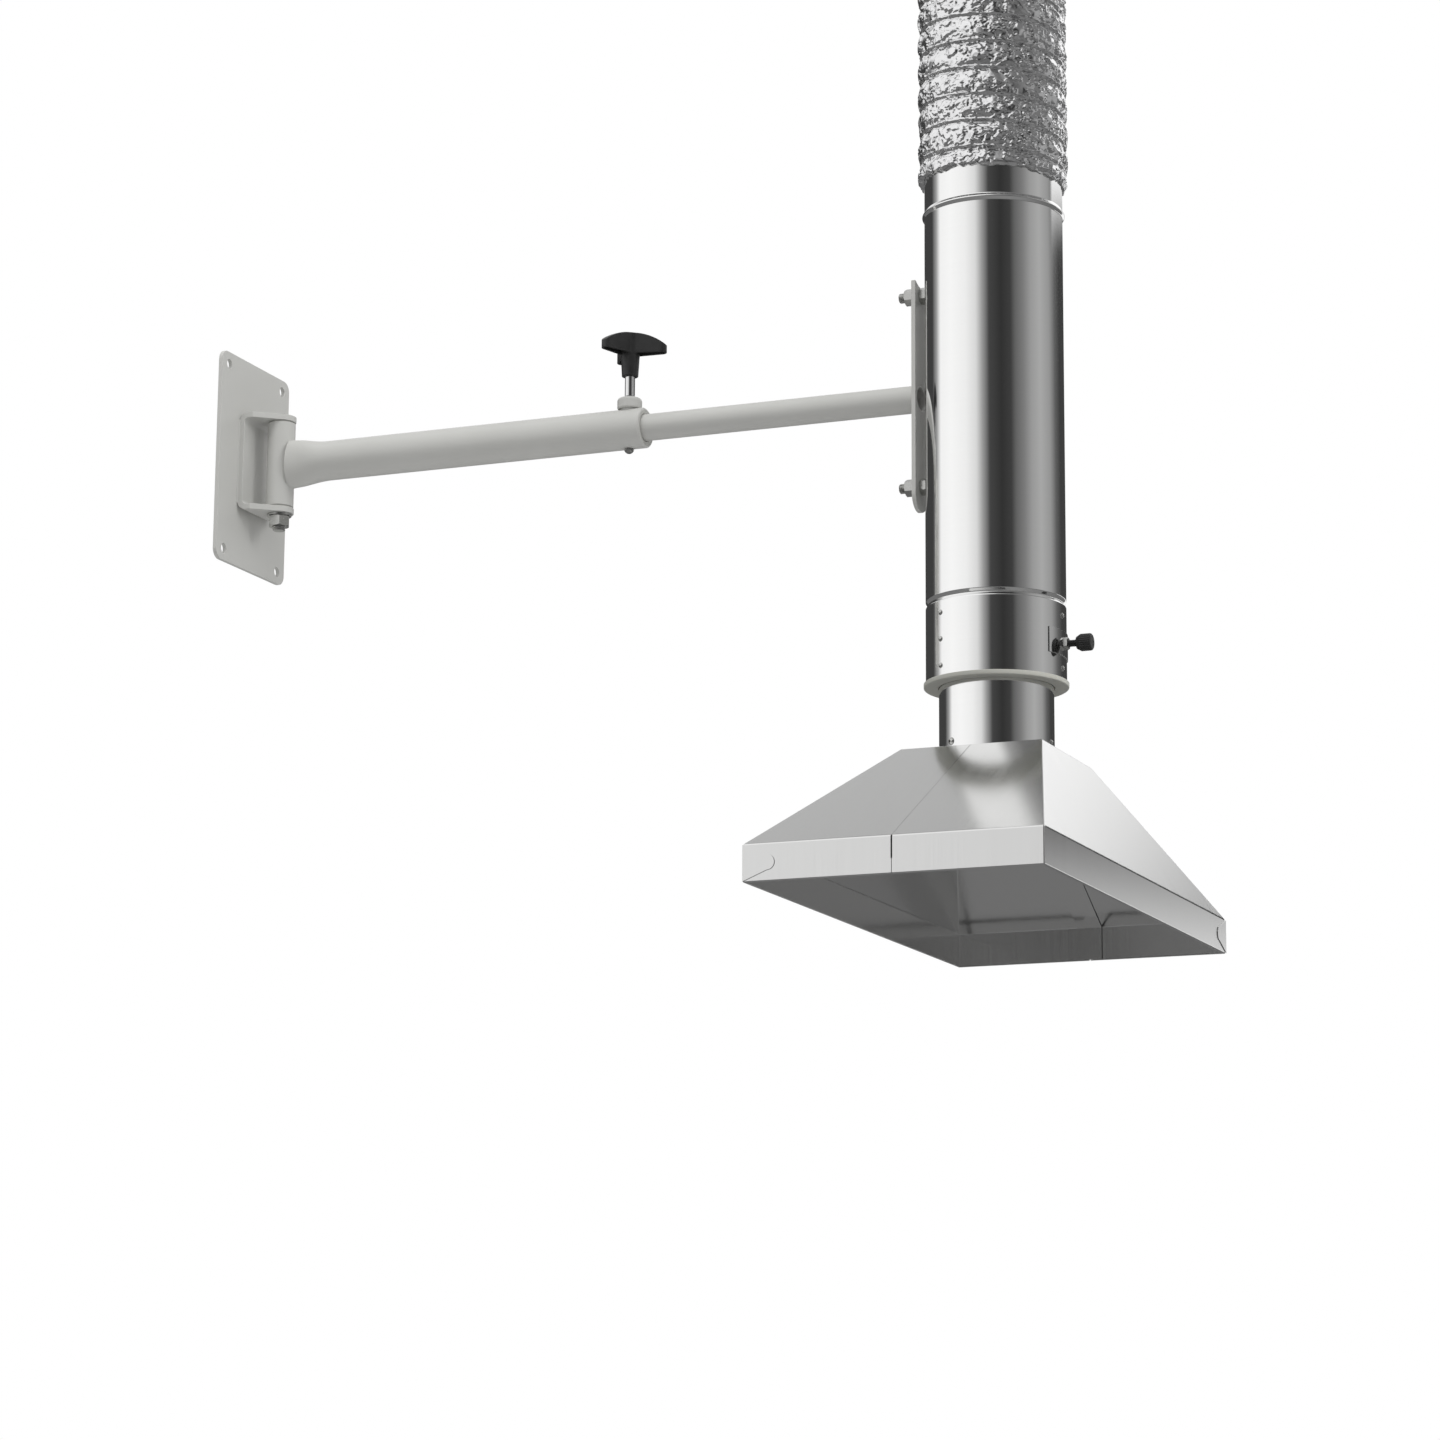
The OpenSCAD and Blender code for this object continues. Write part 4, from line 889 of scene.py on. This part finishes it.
def lock_knob():
    """Knurled knob with a conical shoulder and a round end."""
    low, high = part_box("lock_knob")
    radius = (high.z - low.z) / 2
    length = high.x - low.x
    flutes, per_flute = 24, 12
    sides = flutes * per_flute
    depth, rim_w, rim_soft = 0.6 * MM, 2.2 * MM, 1.6 * MM
    shoulder, row_h = 5 * MM, 1.5 * MM
    profile = rounded([
        (AXIS_R, 0), (radius * 0.72, 0, 0.6 * MM), (radius, shoulder, 0.8 * MM),
        (radius, length, 2.6 * MM), (AXIS_R, length)], closed=False, steps=6)
    dense = []
    for (r0, z0), (r1, z1) in zip(profile, profile[1:]):
        cuts = max(1, int(hypot(r1 - r0, z1 - z0) / row_h))
        dense += [(r0 + (r1 - r0) * k / cuts, z0 + (z1 - z0) * k / cuts) for k in range(cuts)]
    dense.append(profile[-1])
    points = []
    for r, z in dense:
        near_rim = min(max((r - (radius - rim_w)) / rim_soft, 0), 1)
        for a in spokes(sides):
            groove = max(0, cos(flutes * a)) ** 2 * depth
            here = r - groove * near_rim
            points.append((here * cos(a), here * sin(a), z))
    knob = make("lock_knob_knurled", points, grid_faces(len(dense), sides), 50)
    centre_z = (high.z + low.z) / 2
    finish(move(knob, along_x(low.x, centre_z)), "lock", "black_plastic", "lock_knob")

    screw_low, screw_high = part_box("lock_screw")
    rod = threaded("lock_screw_rod", (screw_high.z - screw_low.z) / 2, screw_high.x - screw_low.x,
                   pitch=1.25 * MM, depth=0.5 * MM, chamfer=1.2 * MM)
    finish(move(rod, along_x(screw_low.x, centre_z)), "lock", "black_plastic", "lock_screw")


# Hood

def inner_pipe():
    ring_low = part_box("upper_guide_ring")[0].z
    bead_h = 6 * MM
    pipe = rolled_wall("inner_pipe_wall", INNER_PIPE_R, INNER_LOW.z, INNER_HIGH.z - SHEET,
                       [(ring_low - 0.3 * MM - bead_h / 2, bead_h, 2.2 * MM)])
    lip_r = (INNER_HIGH.x - INNER_LOW.x) / 2
    bore, edge = INNER_PIPE_R - SHEET, 0.4 * MM
    lip = revolve("lip", rounded([
        (bore, INNER_HIGH.z - SHEET), (lip_r, INNER_HIGH.z - SHEET, edge),
        (lip_r, INNER_HIGH.z, edge), (bore, INNER_HIGH.z, edge)]), sides=PIPE_SIDES, crease=40)
    finish(pipe, "hood", "polished_steel", "inner_pipe")
    finish(move_x(lip, PIPE_X), "hood", "polished_steel")


def neck():
    low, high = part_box("hood_neck")
    collar_r = 64.2 * MM
    wall, edge = 1.5 * MM, 0.5 * MM
    flange_r = (high.x - low.x) / 2
    ring = revolve("hood_neck_collar", rounded([
        (collar_r - wall, low.z, edge), (flange_r, low.z, edge), (flange_r, low.z + wall, edge),
        (collar_r, low.z + wall), (collar_r, high.z, edge), (collar_r - wall, high.z, edge)]),
        sides=PIPE_SIDES, crease=40)
    grain = ring.data.uv_layers.new(name="grain")
    for loop in ring.data.loops:
        x, y, z = ring.data.vertices[loop.vertex_index].co
        grain.data[loop.index].uv = (atan2(y, x) * collar_r, z + hypot(x, y))
    finish(move_x(ring, PIPE_X), "hood", "hood_steel", "hood_neck")

    screws = []
    screw_z = INNER_LOW.z + 12 * MM
    for column in range(3):
        head = recessed_head("head", 4.5 * MM, 3 * MM, socket_r=1.9 * MM, depth=1.6 * MM)
        screws.append(move(head, on_pipe(column, screw_z, INNER_PIPE_R - 0.1 * MM)))
    finish(join("hood_neck_screws", screws), "hood", "zinc_steel", "hood_screws")


HALF_X = (HOOD_RIGHT - SHEET - HOOD_LOW.x) / 2
HALF_Y = HOOD_HIGH.y - SHEET
TOP_X = 83 * MM
TOP_Y = 90 * MM
SLOPE_H = 143.5 * MM
HOLE_R = 64.3 * MM
SLOPE_Z = HOOD_HIGH.z - SLOPE_H
SEAM = 0.2 * MM
SLIT = 0.8 * MM
SLIT_H = 24.5 * MM
HEM = 3 * MM


def panel(bm, grain, corners, across):
    """A flat panel whose UV map runs across it and down it, in metres."""
    face = bm.faces.new([bm.verts.new(c) for c in corners])
    face.normal_update()
    across = Vector(across)
    down = face.normal.cross(across).normalized()
    for loop in face.loops:
        loop[grain].uv = (loop.vert.co.dot(across), loop.vert.co.dot(down))


def folded(name, bm):
    """An object from panels, which are joined at shared corners and face outwards."""
    bmesh.ops.remove_doubles(bm, verts=bm.verts, dist=TINY)
    bmesh.ops.recalc_face_normals(bm, faces=bm.faces)
    top = max(bm.faces, key=lambda f: f.calc_center_median().z)
    if top.normal.z < 0:
        bmesh.ops.reverse_faces(bm, faces=bm.faces)
    return from_bmesh(name, bm)


def hood_half(s, name, node_name):
    """Half of the hood: s is -1 for the wall's side, 1 for the other."""
    bm = bmesh.new()
    grain = bm.loops.layers.uv.new("grain")
    top_z, low_z, rim_z = HOOD_HIGH.z, SLOPE_Z, HOOD_LOW.z
    in_x, in_y = HALF_X - HEM, HALF_Y - HEM

    arc_steps = 36
    start = acos(SEAM / HOLE_R)
    arc = []
    for i in range(arc_steps + 1):
        a = -start + 2 * start * i / arc_steps
        arc.append((s * HOLE_R * cos(a), HOLE_R * sin(a), top_z))
    roof = [(s * SEAM, -TOP_Y, top_z), (s * TOP_X, -TOP_Y, top_z), (s * TOP_X, TOP_Y, top_z),
            (s * SEAM, TOP_Y, top_z)] + list(reversed(arc))
    panel(bm, grain, roof, (1, 0, 0))

    panel(bm, grain, [(s * TOP_X, -TOP_Y, top_z), (s * HALF_X, -HALF_Y, low_z),
                      (s * HALF_X, HALF_Y, low_z), (s * TOP_X, TOP_Y, top_z)], (0, 1, 0))
    panel(bm, grain, [(s * HALF_X, -HALF_Y, low_z), (s * HALF_X, -HALF_Y, rim_z),
                      (s * HALF_X, HALF_Y, rim_z), (s * HALF_X, HALF_Y, low_z)], (0, 1, 0))
    panel(bm, grain, [(s * HALF_X, -HALF_Y, rim_z), (s * in_x, -in_y, rim_z),
                      (s * in_x, in_y, rim_z), (s * HALF_X, HALF_Y, rim_z)], (0, 1, 0))
    for y in (-1, 1):
        slit_low = low_z - SLIT_H if y < 0 else rim_z
        panel(bm, grain, [(s * SEAM, y * TOP_Y, top_z), (s * SEAM, y * HALF_Y, low_z),
                          (s * SLIT, y * HALF_Y, low_z), (s * HALF_X, y * HALF_Y, low_z),
                          (s * TOP_X, y * TOP_Y, top_z)], (1, 0, 0))
        rim = [(s * SLIT, y * HALF_Y, low_z), (s * SLIT, y * HALF_Y, slit_low)]
        if y < 0:
            rim += [(s * SEAM, y * HALF_Y, slit_low), (s * SEAM, y * HALF_Y, rim_z)]
        rim += [(s * HALF_X, y * HALF_Y, rim_z), (s * HALF_X, y * HALF_Y, low_z)]
        panel(bm, grain, rim, (1, 0, 0))
        inner = SEAM if y < 0 else SLIT
        panel(bm, grain, [(s * inner, y * HALF_Y, rim_z), (s * inner, y * in_y, rim_z),
                          (s * in_x, y * in_y, rim_z), (s * HALF_X, y * HALF_Y, rim_z)], (1, 0, 0))
    half = folded(name, bm)

    modify(half, "BEVEL", width=1.6 * MM, segments=4, limit_method="ANGLE",
           angle_limit=radians(15))
    modify(half, "SOLIDIFY", thickness=SHEET, offset=-1, use_even_offset=True)
    modify(half, "BEVEL", width=0.42 * MM, segments=2, limit_method="ANGLE",
           angle_limit=radians(55))
    move_x(bake(half, 32), PIPE_X)
    modify(half, "WEIGHTED_NORMAL", keep_sharp=True)
    finish(half, "hood", "hood_steel", node_name)


def seam_straps():
    """Straps inside the front and back seams."""
    width, drop = 15 * MM, 1.06 * MM
    edge_y, edge_z = 78 * MM, HOOD_HIGH.z - drop
    run = HALF_Y - TOP_Y
    rim_y = HALF_Y - 2.6 * MM
    bend_z = SLOPE_Z - run / hypot(run, SLOPE_H) * drop
    corners = [(edge_y, edge_z), (TOP_Y, edge_z), (rim_y, bend_z), (rim_y, HOOD_LOW.z + 1.2 * MM)]
    parts = []
    for y in (-1, 1):
        bm = bmesh.new()
        grain = bm.loops.layers.uv.new("grain")
        for (y0, z0), (y1, z1) in zip(corners, corners[1:]):
            panel(bm, grain, [(-width, y * y0, z0), (width, y * y0, z0),
                              (width, y * y1, z1), (-width, y * y1, z1)], (1, 0, 0))
        strap = folded("strap", bm)
        modify(strap, "SOLIDIFY", thickness=SHEET * 0.9, offset=-1)
        parts.append(bake(strap, 32))
    straps = move_x(join("hood_seam_straps", parts), PIPE_X)
    shade(straps.data, 32)
    soften(straps, 0.2 * MM, 32, segments=2, least=50)
    finish(straps, "hood", "hood_steel")


def corner_tab(name, corner, along):
    """A flat tab on the rim that runs from a corner along one side, with a round nose."""
    length, nose_r, steps = 36.5 * MM, 8.5 * MM, 16
    gap, thickness = 0.15 * MM, 0.8 * MM
    half_h = (SLOPE_Z - HOOD_LOW.z) / 2 - 0.8 * MM
    outline = [(0.0, -half_h), (0.0, half_h)]
    for i in range(steps + 1):
        a = pi / 2 - pi * i / steps
        outline.append((length - nose_r + nose_r * cos(a), nose_r * sin(a)))
    along = Vector(along)
    up = Vector((0, 0, 1))
    corner = Vector(corner)
    out = Vector((corner.x, corner.y, 0))
    out = (out - along * out.dot(along)).normalized()
    bm = bmesh.new()
    grain = bm.loops.layers.uv.new("grain")
    back = [bm.verts.new(corner + along * a + up * b + out * gap) for a, b in outline]
    front = [bm.verts.new(v.co + out * thickness) for v in back]
    count = len(outline)
    bm.faces.new(front)
    bm.faces.new(list(reversed(back)))
    for i in range(count):
        j = (i + 1) % count
        bm.faces.new((back[i], back[j], front[j], front[i]))
    bmesh.ops.recalc_face_normals(bm, faces=bm.faces)
    for face in bm.faces:
        for loop in face.loops:
            loop[grain].uv = (loop.vert.co.dot(along), loop.vert.co.z)
    tab = soften(from_bmesh(name, bm), 0.3 * MM, 32, least=30)
    finish(move_x(tab, PIPE_X), "hood", "hood_steel")


def hood():
    hood_half(-1, "hood_half_wall_side", "hood_left_half")
    hood_half(1, "hood_half_free_side", "hood_right_half")
    seam_straps()
    middle = (SLOPE_Z + HOOD_LOW.z) / 2
    corner_tab("hood_tab_front", (-HALF_X, -HALF_Y, middle), (1, 0, 0))
    corner_tab("hood_tab_back", (-HALF_X, HALF_Y, middle), (1, 0, 0))
    corner_tab("hood_tab_side", (HALF_X, HALF_Y, middle), (0, -1, 0))


# Studio

CAMERA_PLACE = (2.3808, -4.1742, -1.2838)
CAMERA_YAW = radians(20.626)
CAMERA_PITCH = radians(11.527)
SENSOR = 36
LENS = 99.395
SHIFT_X = -0.10


def studio_camera():
    data = bpy.data.cameras.new("camera")
    data.sensor_width = SENSOR
    data.lens = LENS
    data.shift_x = SHIFT_X
    data.clip_end = 100
    camera = bpy.data.objects.new("camera", data)
    camera.location = CAMERA_PLACE
    camera.rotation_euler = (pi / 2 + CAMERA_PITCH, 0, CAMERA_YAW)
    bpy.context.collection.objects.link(camera)
    bpy.context.scene.camera = camera


# What polished metal sees of the studio: (azimuth, level) round the walls, from 105 degrees on.
WALLS = (
    (105, 0.05), (150, 0.05), (165, 0.05), (178, 0.35), (188, 0.95), (212, 1.0), (240, 0.92),
    (258, 0.74), (268, 0.36), (280, 0.06), (300, 0.032), (316, 0.05), (324, 0.13), (338, 0.21),
    (352, 0.34), (370, 0.42), (392, 0.32), (408, 0.12), (425, 0.05), (465, 0.05),
)
WALL_TOP = (22.0, 30.0)
CEILING = (
    (105, 1.0), (150, 0.95), (200, 1.0), (272, 1.0), (292, 0.42), (320, 0.2), (385, 0.18),
    (415, 0.28), (440, 0.8), (465, 1.0),
)
# Patches over walls and ceiling: middle azimuth, half width, lowest and highest elevation, soft
# edge, level. They are two bright windows beyond the wall and a canopy. PATCH_SIDE is the width of
# their soft left and right edges. All are in degrees.
PATCHES = (
    (80.0, 34.0, 18.9, 40.0, 0.7, 1.15),
    (76.0, 26.0, -5.0, 8.8, 2.0, 1.0),
    (122.0, 38.0, 38.0, 100.0, 10.0, 0.45),
)
PATCH_SIDE = 8.0


def around(tree, direction, azimuth):
    """Signed angle of a direction from an azimuth, in radians."""
    turned = node(tree, "VectorRotate", {"rotation_type": "Z_AXIS"}, Vector=direction,
                  Angle=-radians(azimuth)).outputs[0]
    parts = node(tree, "SeparateXYZ", Vector=turned)
    return node(tree, "Math", {"operation": "ARCTAN2"}, _0=parts.outputs["Y"],
                _1=parts.outputs["X"]).outputs[0]


def window(tree, value, outside, inside):
    """0 beyond the outside value, 1 past the inside one, smooth between them."""
    if outside < inside:
        return span(tree, value, outside, inside, 0.0, 1.0, "SMOOTHSTEP")
    return span(tree, value, inside, outside, 1.0, 0.0, "SMOOTHSTEP")


def round_ramp(tree, direction, levels):
    """A level that changes with the azimuth of a direction."""
    first, last = levels[0][0], levels[-1][0]
    share = span(tree, around(tree, direction, first + 180), -pi, pi, 0, 1)
    ramp = node(tree, "ValToRGB", Fac=share)
    stops = ramp.color_ramp.elements
    for azimuth, _ in levels[1:-1]:
        stops.new((azimuth - first) / (last - first))
    for stop, (_, level) in zip(stops, levels):
        stop.color = (level, level, level, 1)
    return ramp.outputs["Color"]


def room_level(tree):
    """Brightness of the room in a direction: walls, ceiling and the patches on them."""
    direction = node(tree, "TexCoord").outputs["Generated"]
    height = node(tree, "SeparateXYZ", Vector=direction).outputs["Z"]
    elevation = node(tree, "Math", {"operation": "ARCSINE"}, _0=height).outputs[0]
    rise = window(tree, elevation, radians(WALL_TOP[0]), radians(WALL_TOP[1]))
    walls, ceiling = (round_ramp(tree, direction, levels) for levels in (WALLS, CEILING))
    level = blend(tree, rise, walls, ceiling)
    for azimuth, half, low, high, soft, value in PATCHES:
        angle = around(tree, direction, azimuth)
        away = node(tree, "Math", {"operation": "ABSOLUTE"}, _0=angle).outputs[0]
        mask = window(tree, away, radians(half + PATCH_SIDE), radians(half))
        for edge in ((low - soft, low + soft), (high + soft, high - soft)):
            part = window(tree, elevation, radians(edge[0]), radians(edge[1]))
            mask = node(tree, "Math", {"operation": "MULTIPLY"}, _0=mask, _1=part).outputs[0]
        level = blend(tree, mask, level, value)
    return level


AMBIENT = 0.52
WHITE = 1.0


def studio_world():
    """White to the camera, a soft even light on matt surfaces, and the room in reflections."""
    world = bpy.data.worlds.new("studio")
    bpy.context.scene.world = world
    world.use_nodes = True
    tree = world.node_tree
    background = tree.nodes["Background"]
    ray = node(tree, "LightPath").outputs
    seen = blend(tree, ray["Is Glossy Ray"], AMBIENT, room_level(tree))
    plain = node(tree, "Math", {"operation": "MAXIMUM"}, _0=ray["Is Camera Ray"],
                 _1=ray["Is Transmission Ray"]).outputs[0]
    tree.links.new(blend(tree, plain, seen, WHITE), background.inputs["Strength"])
    background.inputs["Color"].default_value = (1, 1, 1, 1)


def lamp(name, place, aim, size, power):
    """A soft box. It lights the object and isn't seen in reflections."""
    data = bpy.data.lights.new(name, "AREA")
    data.shape = "SQUARE"
    data.size = size
    data.energy = power
    obj = bpy.data.objects.new(name, data)
    obj.location = place
    obj.rotation_euler = (Vector(aim) - Vector(place)).to_track_quat("-Z", "Y").to_euler()
    obj.visible_glossy = False
    bpy.context.collection.objects.link(obj)


FLOOR_Z = -2.75
FLOOR_SIZE = 60.0
FLOOR_PALE = (0.86, 0.86, 0.86)
# The floor's colour in reflections: a painted shade, so that polished metal mirrors a dark floor.
FLOOR_REFLECTION_SHADE = (0.22, 0.22, 0.22)


def studio_floor():
    """A plain pale floor, far below the arm. In reflections it shows a painted shade, much darker
    than its own pale colour.
    """
    h = FLOOR_SIZE / 2
    floor = make("floor", [(-h, -h, FLOOR_Z), (h, -h, FLOOR_Z), (h, h, FLOOR_Z), (-h, h, FLOOR_Z)],
                 [(0, 1, 2, 3)])
    material, tree, shader = new_material("floor", Roughness=0.8)
    glossy = node(tree, "LightPath").outputs["Is Glossy Ray"]
    # Glossy rays get the painted shade colour instead of the pale one.
    tint(tree, shader, glossy, FLOOR_PALE, FLOOR_REFLECTION_SHADE)
    floor.data.materials.append(material)


def studio():
    studio_camera()
    studio_world()
    studio_floor()
    lamp("key", place=(0.4, -1.6, 4.0), aim=(0.6, 0, 0), size=2.6, power=110)
    lamp("fill", place=(4.6, -0.3, 1.4), aim=(0.4, 0, 0), size=2.4, power=95)
    bpy.context.scene.view_settings.view_transform = "Standard"


dress_frame()
studio()
wall_bracket()
pivot_joint()
pivot_sleeve()
outer_tube()
mouth_bush()
clamp_boss()
guide_screw()
clamp_stud()
clamp_grip()
inner_tube()
pipe_carrier()
outer_pipe()
lower_ring()
rivets()
lock_seat()
foil_duct()
duct_end()
lock_knob()
inner_pipe()
neck()
hood()
